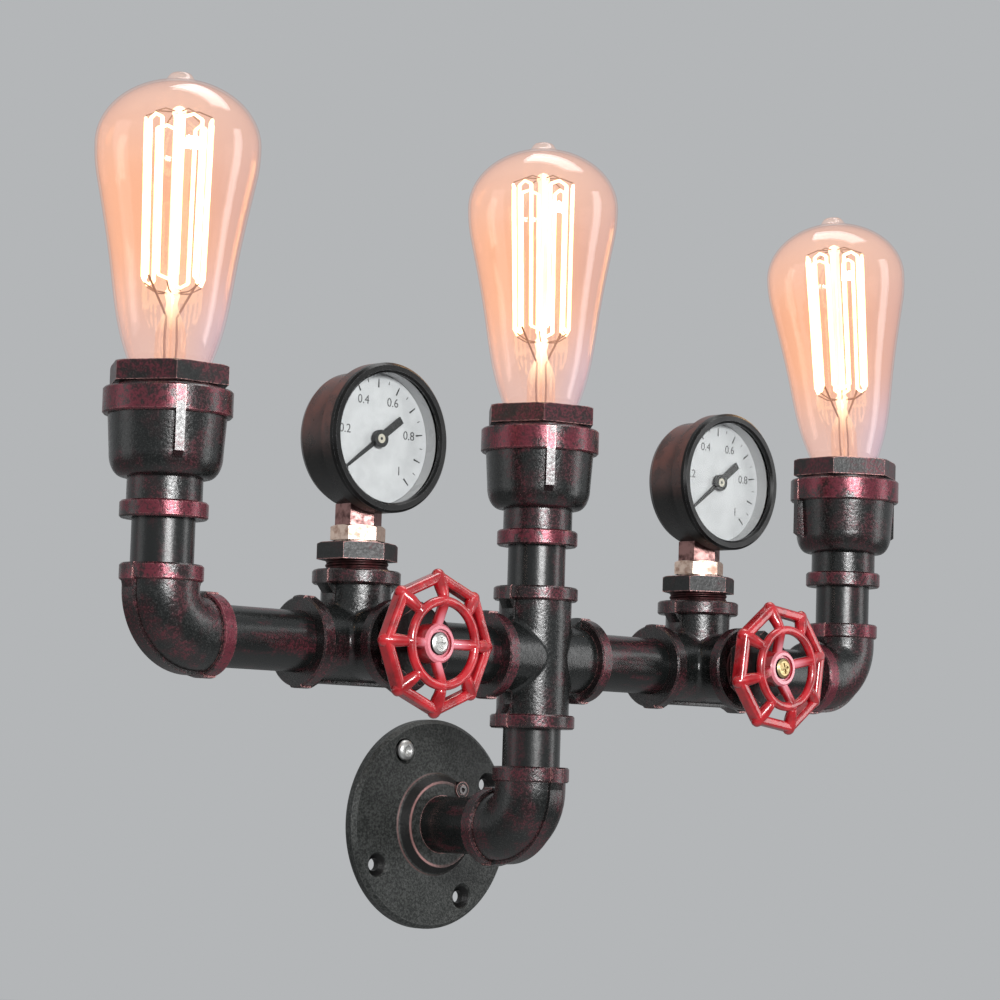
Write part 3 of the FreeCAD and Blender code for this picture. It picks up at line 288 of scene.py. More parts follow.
def cast_iron(node, bands, rubbed, spread=0.0, wear=1.0, dull=0.0):
    """A lacquered black casting with burgundy rubbed over its bands, edges and high spots, and a painted
    pink highlight along its edges.
    """
    paint = Paint(node + "_cast_iron")
    grain = paint.noise(SAND_GRAIN, roughness=0.65)
    pits = paint.noise(0.5 * SAND_GRAIN, detail=2.0)
    patches = paint.noise(CASTING_PATCH)
    edge = paint.edges(0.9 * MM, low=0.02)
    rub = paint.span(patches, *(limit - spread for limit in BODY_RUBBED), 0.0, rubbed)
    if bands:
        band = port_bands(paint, node, bands)
        worn = paint.both(band, paint.span(patches, *BAND_RUBBED, BAND_LEAST * wear, wear))
        rub = paint.either(rub, worn)
        # Edges away from the bands show less
        edge = paint.both(edge, paint.math("MULTIPLY_ADD", band, BAND_EDGES, 1.0 - BAND_EDGES))
    rub = paint.either(rub, edge)
    # Colour stays on the high grains, and on more of them where it is rubbed harder
    raised = paint.math("ADD", grain, paint.math("MULTIPLY", rub, RUB_ON_GRAIN))
    rub = paint.both(rub, paint.span(raised, *HIGH_GRAIN, LOW_GRAIN_SHARE, 1.0))
    # Painted highlight: grainy edges turn copper pink, standing in for light caught on the edges
    edge_highlight = paint.both(edge, paint.span(grain, 0.36, 0.52))
    iron = paint.mottled(pits, (BLACK_IRON, IRON_SHEEN), 0.5, 0.7)
    paint.set(Base_Color=paint.blend(rub, iron, paint.blend(edge_highlight, BURGUNDY, PINK_RUB_AND_HIGHLIGHT)),
              Metallic=paint.math("MULTIPLY", rub, RUBBED_METAL),
              Roughness=paint.span(grain, 0.35, 0.68, 0.20 + dull, 0.34 + dull),
              Specular_IOR_Level=LACQUER_GLOSS - dull)
    paint.set(Normal=paint.bump(grain, SAND_DEEP, paint.bump(patches, CASTING_WAVE)))
    return paint.material


def pipe_iron(node):
    """Drawn pipe: smooth black with faint reddish streaks along it."""
    paint = Paint(node + "_pipe")
    low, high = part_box(node)
    size = high - low
    longest = max(range(3), key=lambda axis: size[axis])
    stretch = [PIPE_STREAK if axis == longest else 1.0 for axis in range(3)]
    streaks = paint.noise(7 * MM, 4.0, 0.6, stretch)
    specks = paint.noise(0.9 * MM, roughness=0.6)
    wear = UPRIGHT_PIPE_WEAR if longest == 2 else LYING_PIPE_WEAR
    rub = paint.both(paint.span(streaks, 0.48, 0.66), paint.span(specks, 0.42, 0.60, 0.2 * wear, wear))
    paint.set(Base_Color=paint.blend(rub, BLACK_IRON, BURGUNDY),
              Metallic=paint.math("MULTIPLY", rub, RUBBED_METAL),
              Roughness=paint.varied(specks, 0.24, 0.32), Specular_IOR_Level=LACQUER_GLOSS)
    paint.set(Normal=paint.bump(specks, 0.016 * MM, paint.bump(streaks, 0.12 * MM)))
    return paint.material


BOLT_HOLES = 4
BOLT_RADIUS = 31.5 * MM
# Degrees of the first hole, counted up from the right
BOLT_ANGLE = 119.5
FLANGE_TONES = ((0.010, 0.012, 0.011), (0.060, 0.063, 0.060))
# Grey of the painted highlight on the flange's edges
FLANGE_EDGE_HIGHLIGHT = (0.30, 0.31, 0.31)
# Black of the painted shade in the bolt holes and on the collar's side
FLANGE_SHADE = (0.004, 0.004, 0.004)
HOLE_RADIUS = 4.4 * MM
COLLAR_RADIUS = 18.7 * MM
# Pink lines round the collar, partly rubbed wear and partly painted highlight: inner radius, outer
# radius, share
PINK_LINES = ((18.8 * MM, 19.6 * MM, 0.22), (15.1 * MM, 16.3 * MM, 0.7))
RING_SOFT = 0.4 * MM
# Where the pink starts to show and where it shows fully: ahead of the wall, and left of the middle, where
# the painted highlight is strongest
PINK_AHEAD = (6.5 * MM, 8.5 * MM)
PINK_HIGHLIGHT_LEFT = (-6 * MM, 14 * MM)


def bolt_hole(number):
    """The middle of one of the flange's holes, on the wall."""
    return around(math.radians(BOLT_ANGLE + 360 * number / BOLT_HOLES), BOLT_RADIUS, 0).xzy


def flange_iron(node):
    """The wall flange: a grainy dark casting with painted shade on its collar's side and in its holes, a
    painted grey highlight on its edges, and pink on its collar that is partly rubbed wear and partly
    painted highlight, strongest to the left.
    """
    paint = Paint(node + "_flange")
    grain = paint.noise(0.9 * MM, 4.0, 0.7)
    patches = paint.noise(9 * MM)
    edge = paint.edges(0.8 * MM)
    out = paint.radius(ORIGIN)
    # Pink on the collar's front edges and in two lines round it: rubbed wear and painted highlight,
    # stronger to the left
    rub = paint.both(edge, paint.span(paint.along(AHEAD), *PINK_AHEAD))
    highlight_leftwards = paint.span(paint.along(LEFT), *PINK_HIGHLIGHT_LEFT, 0.1, 1.0)
    for inner, outer, share in PINK_LINES:
        line = paint.between(out, inner, inner + RING_SOFT, outer - RING_SOFT, outer, share)
        rub = paint.either(rub, paint.both(line, highlight_leftwards))
    # Painted shade: black on the collar's side, away from its front face, and in each bolt hole
    dark = paint.both(paint.span(paint.dot(paint.normal, AHEAD), 0.62, 0.85, 1.0, 0.0),
                      paint.span(out, COLLAR_RADIUS - RING_SOFT, COLLAR_RADIUS, 1.0, 0.0))
    for number in range(BOLT_HOLES):
        hole = paint.radius(bolt_hole(number))
        dark = paint.either(dark, paint.span(hole, HOLE_RADIUS - RING_SOFT, HOLE_RADIUS, 1.0, 0.0))
    tone = paint.mottled(grain, FLANGE_TONES, 0.38, 0.66)
    # Painted highlight: the flange's edges are lightened to grey
    tone = paint.blend(paint.math("MULTIPLY", edge, 0.6), tone, FLANGE_EDGE_HIGHLIGHT)
    tone = paint.blend(dark, tone, FLANGE_SHADE)
    paint.set(Base_Color=paint.blend(rub, tone, PINK_RUB_AND_HIGHLIGHT),
              Metallic=paint.math("ADD", 0.35, paint.math("MULTIPLY", rub, RUBBED_METAL)),
              Roughness=paint.varied(patches, 0.36, 0.50), Specular_IOR_Level=0.5)
    paint.set(Normal=paint.bump(grain, 0.16 * MM, paint.bump(patches, 0.3 * MM)))
    return paint.material


# Enamel and lacquer

RED_TONES = ((0.28, 0.003, 0.007), (0.50, 0.008, 0.016))
# Pink of thin paint together with the painted highlight on edges, hub and spokes
RED_THIN_AND_HIGHLIGHT = (0.76, 0.27, 0.33)
HUB_FADE = (6.5 * MM, 13 * MM)
COAT = {"Coat_Weight": 0.8, "Coat_Roughness": 0.08}
ENAMEL_TONES = ((0.010, 0.010, 0.010), (0.020, 0.019, 0.018))
ENAMEL_WORN = (0.115, 0.042, 0.033)
WORN_TOWARDS = Vector((-0.64, 0.0, 0.77))
WORN_REACH = (7 * MM, 23 * MM)
CASE_INSIDE = (0.50, 0.50, 0.51)
INSIDE_REACH = (-12 * MM, -6 * MM)
LIP_BLACK = (0.004, 0.004, 0.004)
LIP_HIGHLIGHT_GREY = (0.26, 0.26, 0.27)
LIP_DEEP = 2.6 * MM
INK_WORN = (0.45, 0.75)
TICK_BLACK = (0.010, 0.010, 0.011)
NUMBER_GREY = (0.085, 0.085, 0.090)
POINTER_TONES = ((0.016, 0.016, 0.017), (0.05, 0.05, 0.052))
STAPLE_BRASS = (0.66, 0.62, 0.52)
STAPLE_RING = (0.45 * MM, 0.65 * MM, 1.50 * MM, 1.75 * MM)
CARD_TONES = ((0.66, 0.67, 0.69), (0.73, 0.74, 0.76))


def red_paint(name):
    """Thick glossy red enamel, pinker on the edges and the hub's face, where the paint is thin and where
    a painted highlight stands in for light on them.
    """
    paint = Paint(name + "_wheel_red")
    edge = paint.edges(1.0 * MM, high=0.35)
    runs = paint.noise(6 * MM)
    # Painted highlight, partly thin paint: pink on the edges and on the front of the hub and spokes
    hub = paint.span(paint.radius(middle_of(name + "_handwheel")), *HUB_FADE, 0.85, 0.0)
    hub = paint.both(hub, paint.span(paint.dot(paint.normal, AHEAD), 0.3, 0.9))
    thin = paint.either(paint.math("MULTIPLY", edge, 0.5), hub)
    waves = paint.bump(runs, 0.25 * MM)
    paint.set(Base_Color=paint.blend(thin, paint.mottled(runs, RED_TONES), RED_THIN_AND_HIGHLIGHT),
              Roughness=paint.varied(runs, 0.26, 0.36), Normal=waves, Coat_Normal=waves, **COAT)
    return paint.material


def case_enamel(name, part):
    """A gauge's black enamel, worn to brown red over its upper outer side, with a painted grey highlight
    along the bezel lip's edges; its inside is pale.
    """
    paint = Paint(name + "_gauge_" + part)
    middle = middle_of(name + "_gauge_case")
    runs = paint.noise(9 * MM)
    dust = paint.noise(0.8 * MM)
    side = paint.span(paint.along(WORN_TOWARDS, middle), *WORN_REACH)
    worn = paint.both(side, paint.span(runs, 0.30, 0.62, 0.35, 1.0))
    color = paint.blend(worn, paint.mottled(dust, ENAMEL_TONES, 0.4, 0.7), ENAMEL_WORN)
    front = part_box(name + "_gauge_bezel")[0]
    lip = paint.span(paint.along(AHEAD, front), -LIP_DEEP, -LIP_DEEP + RING_SOFT)
    # Painted highlight: the bezel's front lip is black with grey lines on its edges
    color = paint.blend(lip, color, paint.blend(paint.edges(0.35 * MM), LIP_BLACK, LIP_HIGHLIGHT_GREY))
    inwards = paint.span(paint.dot(paint.normal, paint.spoke(middle)), *INSIDE_REACH, 1.0, 0.0)
    color = paint.blend(paint.both(inwards, paint.math("SUBTRACT", 1.0, lip)), color, CASE_INSIDE)
    paint.set(Base_Color=color, Roughness=paint.varied(runs, 0.24, 0.36),
              Specular_IOR_Level=paint.span(lip, 0.0, 1.0, 0.55, 0.25))
    paint.set(Normal=paint.bump(runs, 0.10 * MM))
    return paint.material


def dial_card():
    """The dial's white print, a little grey and grained."""
    paint = Paint("dial_white")
    fiber = paint.noise(0.6 * MM, detail=2.0)
    paint.set(Base_Color=paint.mottled(paint.noise(6 * MM), CARD_TONES),
              Roughness=paint.varied(fiber, 0.45, 0.6), Normal=paint.bump(fiber, 0.02 * MM))
    return paint.material


def ink(name, tone):
    """Printing ink with a slightly broken tone."""
    paint = Paint(name)
    wear = paint.noise(0.8 * MM)
    paint.set(Base_Color=paint.mottled(wear, (tone, lifted(tone, 2.2, 0.02)), *INK_WORN),
              Roughness=paint.varied(wear, 0.35, 0.5))
    return paint.material


def pointer_lacquer(name):
    """A pointer's black lacquer, with the bright end of its staple in the hub."""
    paint = Paint(name + "_pointer_lacquer")
    wear = paint.noise(0.8 * MM)
    out = paint.radius(middle_of(name + "_gauge_dial"))
    staple = paint.between(out, *STAPLE_RING)
    paint.set(Base_Color=paint.blend(staple, paint.mottled(wear, POINTER_TONES, *INK_WORN), STAPLE_BRASS),
              Roughness=paint.varied(wear, 0.35, 0.5))
    return paint.material


# Bare metals: colour, colour where it is tarnished, roughness

METALS = {"zinc_steel": ((0.56, 0.56, 0.55), None, 0.34),
          "bright_zinc": ((0.62, 0.62, 0.60), None, 0.30),
          "yellow_zinc": ((0.62, 0.50, 0.26), (0.40, 0.28, 0.12), 0.30),
          "pale_brass": ((0.70, 0.55, 0.46), (0.42, 0.27, 0.21), 0.36),
          "dark_copper": ((0.27, 0.15, 0.14), (0.10, 0.052, 0.050), 0.32),
          "thread_iron": ((0.055, 0.028, 0.028), (0.10, 0.030, 0.032), 0.34),
          "spindle_steel_dark": ((0.20, 0.19, 0.19), None, 0.30),
          "cap_brass_bright": ((0.72, 0.56, 0.30), (0.50, 0.36, 0.18), 0.25),
          "support_wire": ((0.16, 0.12, 0.10), None, 0.4)}
WHEEL_SCREW_METALS = {"left": "bright_zinc", "right": "yellow_zinc"}
TARNISH_ROUGHER = 1.6
RECESS_SHADE = (0.01, 0.01, 0.01)
RECESS_MOUTH = 0.60 * MM
RECESS_FULL = 0.75 * MM


def turned_metal(name, recess=None):
    """Bare machined metal, mottled with tarnish; a screw node's recess is darkened with painted shade."""
    tone, tarnished, roughness = METALS[name]
    paint = Paint(name)
    stain = paint.noise(3 * MM, 4.0, 0.6)
    body = paint.mottled(stain, (tone, tarnished or tone), 0.42, 0.70)
    body = paint.blend(paint.edges(0.4 * MM), body, lifted(tone, 1.15, 0.05))
    if recess:
        depth = paint.along(AHEAD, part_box(recess)[0])
        # Painted shade: the screw's recess darkens with depth
        body = paint.blend(paint.span(depth, -RECESS_FULL, -RECESS_MOUTH, 1.0, 0.0), body, RECESS_SHADE)
    paint.set(Base_Color=body, Metallic=1.0,
              Roughness=paint.varied(stain, roughness, roughness * TARNISH_ROUGHER),
              Normal=paint.bump(paint.noise(0.4 * MM, detail=2.0), 0.03 * MM))
    return paint.material


# Glass, porcelain and sheath

GLASS_INDEX = 1.45
MOUNT_INDEX = 1.5
LENS_TINT = (0.97, 0.975, 0.97)
LENS_SHINE = (0.15, 0.15, 0.15)
BULB_TINTS = ((0.935, 0.875, 0.835), (0.925, 0.865, 0.83))
BULB_SHINE = (0.85, 0.79, 0.80)
PEACH_LOW = (0.140, 0.084, 0.075)
PEACH_MID = (0.200, 0.078, 0.030)
PEACH_TOP = (0.160, 0.100, 0.082)
VIOLET_LOW = (0.105, 0.088, 0.130)
VIOLET_MID = (0.130, 0.062, 0.050)
VIOLET_SIDE = Vector((0.73, -0.68, 0.0))
VIOLET_REACH = (2 * MM, 22 * MM)
# Shares of the glass's height between which its tone changes
FOOT_FADE = (0.12, 0.45)
CROWN_FADE = (0.60, 0.98)
MOUNT_TINT = (0.9, 0.85, 0.8)
MOUNT_SHINE = (1.0, 1.0, 1.0)
MOUNT_GLOWS = ((0.10, 0.05, 0.03), (1.4, 1.15, 0.75))
MOUNT_LIT_LOW = 18 * MM
MOUNT_LIT_HIGH = 38 * MM
FILAMENT_GLOWS = ((1.0, 0.70, 0.30), (1.0, 0.84, 0.52))
FILAMENT_STRENGTH = 5.0
PORCELAIN_TONES = ((0.72, 0.70, 0.66), (0.80, 0.79, 0.76))
SHEATH_TONES = ((0.62, 0.60, 0.55), (0.72, 0.70, 0.66))


def lens_glass():
    """Thin clear glass: what is behind shows straight through, with a reflection on top."""
    paint = Paint("lens_glass")
    waves = paint.noise(14 * MM, detail=2.0)
    normal = paint.bump(waves, 0.05 * MM)
    film = paint.mottled(waves, (LENS_TINT, lifted(LENS_TINT, 0.985)))
    paint.glaze(paint.gloss_share(GLASS_INDEX, normal), paint.clear(film),
                paint.mirror(LENS_SHINE, 0.02, normal))
    return paint.material


def amber_glass(lamp):
    """A lit bulb's amber glass: peach glow, deepest round the filament, cooler down one side."""
    paint = Paint(lamp + "_amber_glass")
    low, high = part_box(lamp + "_bulb_glass")
    height = high.z - low.z
    rise = paint.along(UP, low)
    cloud = paint.noise(18 * MM, detail=2.0)
    crown = paint.span(rise, *(share * height for share in CROWN_FADE))
    foot = paint.span(rise, *(share * height for share in FOOT_FADE))
    aside = paint.span(paint.along(VIOLET_SIDE, (low + high) / 2), *VIOLET_REACH)
    glow = paint.blend(aside, paint.blend(foot, PEACH_LOW, PEACH_MID),
                       paint.blend(foot, VIOLET_LOW, VIOLET_MID))
    glow = paint.blend(crown, glow, PEACH_TOP)
    waves = paint.bump(cloud, 0.10 * MM)
    body = paint.lit(paint.clear(paint.mottled(cloud, BULB_TINTS, NOISE_LOW, NOISE_HIGH)), glow)
    paint.glaze(paint.gloss_share(GLASS_INDEX, waves), body, paint.mirror(BULB_SHINE, 0.03, waves))
    return paint.material


def lit_mount():
    """The glass mount, which catches the filament's light."""
    paint = Paint("mount_glass")
    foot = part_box("left_bulb_glass")[0].z
    streak = paint.noise(5 * MM, 3.0, 0.5, (1.0, 1.0, 0.2))
    rise = paint.span(paint.along(UP), foot + MOUNT_LIT_LOW, foot + MOUNT_LIT_HIGH)
    glow = paint.blend(paint.both(rise, paint.span(streak, 0.3, 0.6, 0.5, 1.0)), *MOUNT_GLOWS)
    paint.glaze(paint.gloss_share(MOUNT_INDEX), paint.lit(paint.clear(MOUNT_TINT), glow),
                paint.mirror(MOUNT_SHINE, 0.05))
    return paint.material


def hot_wire():
    """The glowing filament, its tone a little uneven."""
    paint = Paint("filament_glow")
    glow = paint.mottled(paint.noise(8 * MM, detail=2.0), FILAMENT_GLOWS)
    paint.feed(paint.surface, paint.lit(None, glow, FILAMENT_STRENGTH))
    return paint.material


def porcelain():
    """Glazed white porcelain."""
    paint = Paint("porcelain_glaze")
    cloud = paint.noise(5 * MM)
    paint.set(Base_Color=paint.blend(cloud, *PORCELAIN_TONES), Roughness=paint.varied(cloud, 0.18, 0.30),
              **COAT)
    return paint.material


def cable_sheath():
    """Silicone sheath of the leads."""
    paint = Paint("lead_sheath")
    cloud = paint.noise(3 * MM)
    paint.set(Base_Color=paint.blend(cloud, *SHEATH_TONES), Roughness=paint.varied(cloud, 0.45, 0.6),
              Normal=paint.bump(cloud, 0.05 * MM))
    return paint.material


# Meshes

def add_object(name, data):
    """A new object in the scene."""
    made = bpy.data.objects.new(name, data)
    bpy.context.scene.collection.objects.link(made)
    return made


def add_mesh(name, shape, material, body, smooth=True, place=None):
    """A closed mesh, from its points and faces, that rides on a body."""
    points, faces = shape
    mesh = bpy.data.meshes.new(name)
    mesh.from_pydata([tuple(point) for point in points], [], faces)
    mesh.validate()
    if place is not None:
        mesh.transform(place)
    for polygon in mesh.polygons:
        polygon.use_smooth = smooth
    made = add_object(name, mesh)
    made.data.materials.append(material)
    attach(made, body)
    return made


def merge(shapes):
    """Several shapes as one; a shape is its points and its faces."""
    points, faces = [], []
    for more_points, more_faces in shapes:
        start = len(points)
        points += more_points
        faces += [tuple(index + start for index in face) for face in more_faces]
    return points, faces


def grid_faces(rows, columns, wrap_rows):
    """Quads over a grid whose columns wrap round."""
    faces = []
    for row in range(rows if wrap_rows else rows - 1):
        after = (row + 1) % rows
        for column in range(columns):
            beside = (column + 1) % columns
            faces.append((row * columns + column, row * columns + beside,
                          after * columns + beside, after * columns + column))
    return faces


def ring_turns(steps):
    """Even turns once round."""
    return [2 * math.pi * step / steps for step in range(steps)]


def lathe(profile, steps):
    """A closed profile of (radius, height), in millimetres, turned about Z."""
    points = [around(turn, radius * MM, height * MM)
              for radius, height in profile for turn in ring_turns(steps)]
    return points, grid_faces(len(profile), steps, True)


def wire(route, radius, sides):
    """A round wire with closed ends along points."""
    points = []
    for number, point in enumerate(route):
        before = route[max(number - 1, 0)]
        after = route[min(number + 1, len(route) - 1)]
        forward = (after - before).normalized()
        across = forward.cross(RIGHT if abs(forward.x) < 0.8 else UP).normalized()
        beside = forward.cross(across)
        for turn in ring_turns(sides):
            points.append(point + radius * (math.cos(turn) * across + math.sin(turn) * beside))
    faces = grid_faces(len(route), sides, False)
    faces.append(tuple(range(sides)))
    faces.append(tuple(range(len(points) - 1, len(points) - sides - 1, -1)))
    return points, faces


def flat_bar(start, end, start_width, end_width, thickness):
    """A flat tapered bar in the XY plane, raised along Z."""
    forward = (end - start).normalized()
    across = UP.cross(forward)
    corners = [start - across * start_width / 2, end - across * end_width / 2,
               end + across * end_width / 2, start + across * start_width / 2]
    points = corners + [corner + UP * thickness for corner in corners]
    faces = [(3, 2, 1, 0), (4, 5, 6, 7), (0, 1, 5, 4), (1, 2, 6, 5), (2, 3, 7, 6), (3, 0, 4, 7)]
    return points, faces


# Bulbs: heights are from the rim of the cap

# Degrees that each bulb leans, and which way
LEAN = {"left": 0.0, "center": 1.0, "right": 4.0}
LEAN_TOWARDS = Vector((-0.73, 0.68, 0.0))
# Radius and height of the glass mount in millimetres: flare, pinch, rod and its buttons
STEM_PROFILE = ((0.3, -7.2), (11.9, -7.2), (11.9, -6.0), (10.8, -6.0), (5.5, -4.4), (5.3, 12.0),
                (4.6, 15.0), (2.4, 20.0), (1.9, 22.6), (2.6, 25.6), (2.6, 26.6), (1.9, 27.6),
                (1.9, 86.0), (2.5, 87.2), (2.5, 88.6), (1.4, 89.6), (0.3, 90.0))
STEM_SIDES = 40
STRANDS = 12
STRAND_STEPS = 6
STRAND_SIDES = 8
STRAND_RADIUS = 0.72 * MM
LOOP_RADIUS = 0.8 * STRAND_RADIUS
# How far strands stand off an even spacing, and the step of that wave from each to the next
STRAND_SWAY = 0.13
SWAY_STEP = 5.1
# The cage's two ends: radius, height, rise of its loops, height of the button that holds them
CAGE_TOP = (11.2 * MM, 84.0 * MM, 1.4 * MM, 87.9 * MM)
CAGE_FOOT = (10.2 * MM, 31.0 * MM, -1.4 * MM, 26.1 * MM)
BUTTON_RADIUS = 2.2 * MM
SUPPORT_RADIUS = 0.25 * MM
SUPPORT_SIDES = 6
HOOK_REACH = 1.6
LEAD_IN_RADIUS = 0.40 * MM
# Distance from the axis and height of a feeding wire, in millimetres
LEAD_IN_ROUTE = ((2.0, -3.0), (2.6, 10.0), (2.2, 18.0), (4.6, 22.0))


def bulb_place(lamp):
    """Matrix from a bulb's own axis to its place, lean included."""
    low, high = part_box(lamp + "_bulb_cap")
    angle = math.radians(LEAN[lamp])
    lift = (high.x - low.x) / 2 * math.sin(angle)
    foot = Vector(((low.x + high.x) / 2, (low.y + high.y) / 2, high.z))
    turn = Matrix.Rotation(angle, 4, UP.cross(LEAN_TOWARDS))
    return Matrix.Translation(foot + UP * lift) @ turn


def strand_turn(number):
    """Where a strand stands round the cage, a little unevenly."""
    return 2 * math.pi * number / STRANDS + STRAND_SWAY * math.sin(SWAY_STEP * (number % STRANDS))


def cage_end(number):
    """The end of the cage where a strand is joined to the next one: top and foot in turn."""
    return CAGE_TOP if number % 2 == 0 else CAGE_FOOT


def strand(number):
    """One upright strand of the filament and its loop to the next one."""
    turn, after = strand_turn(number), strand_turn(number + 1)
    low, high = (around(turn, radius, height) for radius, height, *_ in (CAGE_FOOT, CAGE_TOP))
    upright = [low.lerp(high, step / STRAND_STEPS) for step in range(STRAND_STEPS + 1)]
    radius, height, rise, _ = cage_end(number)
    loop = [around(turn, radius, height), around((turn + after) / 2, radius, height + rise),
            around(after, radius, height)]
    return [wire(upright, STRAND_RADIUS, STRAND_SIDES), wire(loop, LOOP_RADIUS, STRAND_SIDES)]


def support_hook(number):
    """The support wire from a button of the mount to a strand's loop."""
    radius, height, rise, button = cage_end(number)
    middle = (strand_turn(number) + strand_turn(number + 1)) / 2
    sag = around(middle, (BUTTON_RADIUS + radius) / 2, (button + height + rise) / 2 + rise)
    route = [around(middle, BUTTON_RADIUS, button), sag,
             around(middle, radius, height + rise * HOOK_REACH)]
    return wire(route, SUPPORT_RADIUS, SUPPORT_SIDES)


def lead_in(side):
    """The wire that feeds the cage on one side, up through the mount's pinch."""
    radius, height, *_ = CAGE_FOOT
    route = [Vector((side * out * MM, 0, rise * MM)) for out, rise in LEAD_IN_ROUTE]
    route.append(around(0 if side > 0 else math.pi, radius, height))
    return wire(route, LEAD_IN_RADIUS, SUPPORT_SIDES)


def bulb_inside(lamp, glass, glow, support):
    """Glass mount, filament and support wires of one bulb."""
    place = bulb_place(lamp)
    body = lamp + "_bulb"
    stem = add_mesh(lamp + "_bulb_stem", lathe(STEM_PROFILE, STEM_SIDES), glass, body,
                    place=place)
    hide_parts(lamp + "_bulb_mount")
    strands = merge(part for number in range(STRANDS) for part in strand(number))
    add_mesh(lamp + "_bulb_filament", strands, glow, body, place=place)
    wires = merge([support_hook(number) for number in range(STRANDS)] + [lead_in(-1), lead_in(1)])
    add_mesh(lamp + "_bulb_supports", wires, support, body, place=place)


# Gauges: sizes on the dial's face

TICK_OUT = 21.3 * MM
# Length and width of a tick
LONG_TICK = (3.1 * MM, 0.62 * MM)
SHORT_TICK = (1.2 * MM, 0.32 * MM)
TICK_TAPER = 0.55
PRINT_THICKNESS = 0.06 * MM
LABEL_RADIUS = 14.9 * MM
LABEL_SIZE = 4.4 * MM
# Degrees round the dial: where the scale starts, and how far it runs on clockwise
SCALE_START = 225.0
SCALE_SWEEP = 270.0
LONG_STEPS = 10
SHORT_PER_LONG = 2
LABELS = ("0.2", "0.4", "0.6", "0.8", "1")


def dial_angle(share):
    """Angle round the dial of a share of the scale."""
    return math.radians(SCALE_START - SCALE_SWEEP * share)


def dial_ticks():
    """The scale's ticks, long and short in turn."""
    steps = LONG_STEPS * SHORT_PER_LONG
    ticks = []
    for number in range(steps + 1):
        turn = dial_angle(number / steps)
        length, width = LONG_TICK if number % SHORT_PER_LONG == 0 else SHORT_TICK
        ticks.append(flat_bar(around(turn, TICK_OUT - length, 0), around(turn, TICK_OUT, 0),
                              width, width * TICK_TAPER, PRINT_THICKNESS))
    return merge(ticks)


def number_mesh(words):
    """A plain number, raised a little, with its middle at the origin."""
    curve = bpy.data.curves.new("dial_number", "FONT")
    curve.body = words
    curve.size = LABEL_SIZE
    curve.extrude = PRINT_THICKNESS / 2
    curve.align_x = "CENTER"
    curve.align_y = "CENTER"
    text = add_object("dial_number", curve)
    bpy.context.view_layer.update()
    shaped = text.evaluated_get(bpy.context.evaluated_depsgraph_get())
    mesh = bpy.data.meshes.new_from_object(shaped)
    bpy.data.objects.remove(text)
    mesh.materials.clear()
    return mesh


def dial_print(name, tick_ink, number_ink):
    """Ticks and plain numbers on a dial."""
    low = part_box(name + "_gauge_dial")[0]
    middle = middle_of(name + "_gauge_dial")
    place = facing(Vector((middle.x, low.y, middle.z)), AHEAD)
    add_mesh(name + "_dial_ticks", dial_ticks(), tick_ink, "frame", False, place)
    for words in LABELS:
        mesh = number_mesh(words)
        spot = around(dial_angle(float(words)), LABEL_RADIUS, PRINT_THICKNESS / 2)
        mesh.transform(place @ Matrix.Translation(spot))
        mesh.materials.append(number_ink)
        label = add_object(name + "_dial_number_" + words.replace(".", "_"), mesh)
        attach(label, "frame")


# Threads under the bushings' hexagons

THREAD_PITCH = 1.814 * MM
THREAD_DEEP = 0.55 * MM
THREAD_RADIUS = 10.65 * MM
THREAD_LENGTH = 3.6 * MM
THREAD_SIDES = 64
ROWS_PER_TURN = 10


def thread():
    """A sleeve with a screw thread cut into its outside, up from the origin."""
    rows = round(THREAD_LENGTH / THREAD_PITCH * ROWS_PER_TURN)
    points = []
    for row in range(rows + 1):
        height = THREAD_LENGTH * row / rows
        for step, turn in enumerate(ring_turns(THREAD_SIDES)):
            phase = (height / THREAD_PITCH - step / THREAD_SIDES) % 1.0
            crest = THREAD_DEEP * (1.0 - abs(2.0 * phase - 1.0))
            points.append(around(turn, THREAD_RADIUS + crest, height))
    for height in (THREAD_LENGTH, 0.0):
        points += [around(turn, THREAD_RADIUS - THREAD_DEEP, height) for turn in ring_turns(THREAD_SIDES)]
    return points, grid_faces(rows + 3, THREAD_SIDES, True)


def bushing_threads(material):
    """The threads at the upper and the front port of both tees."""
    for name in SIDES:
        low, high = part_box(name + "_tee")
        middle = middle_of(name + "_tee")
        reach = (high.x - low.x) / 2
        top = Vector((middle.x, low.y + reach, high.z))
        front = Vector((middle.x, low.y, high.z - reach))
        for key, spot, direction in (("gauge", top, UP), ("wheel", front, AHEAD)):
            add_mesh(name + "_" + key + "_bushing_thread", thread(), material, "frame",
                     place=facing(spot, direction))


# Handwheels: the swellings where the bars meet the rim

KNUCKLES = 8
KNUCKLE_SIDES = 24
# Degrees that each wheel stands turned at rest
WHEEL_TURN = {"left": 0.0, "right": 15.0}
# Where a swelling starts and where it points to: out from the axis, ahead of the wheel's back
KNUCKLE_START = (15.0 * MM, 9.2 * MM)
KNUCKLE_END = (23.6 * MM, 5.2 * MM)
# Radius of a swelling along its bar, in millimetres
KNUCKLE_PROFILE = ((0.05, 0.0), (1.5, 0.0), (1.9, 1.2), (2.35, 4.5), (2.5, 8.0), (2.4, 9.1),
                   (2.1, 10.1), (1.5, 10.9), (0.8, 11.3), (0.05, 11.4))


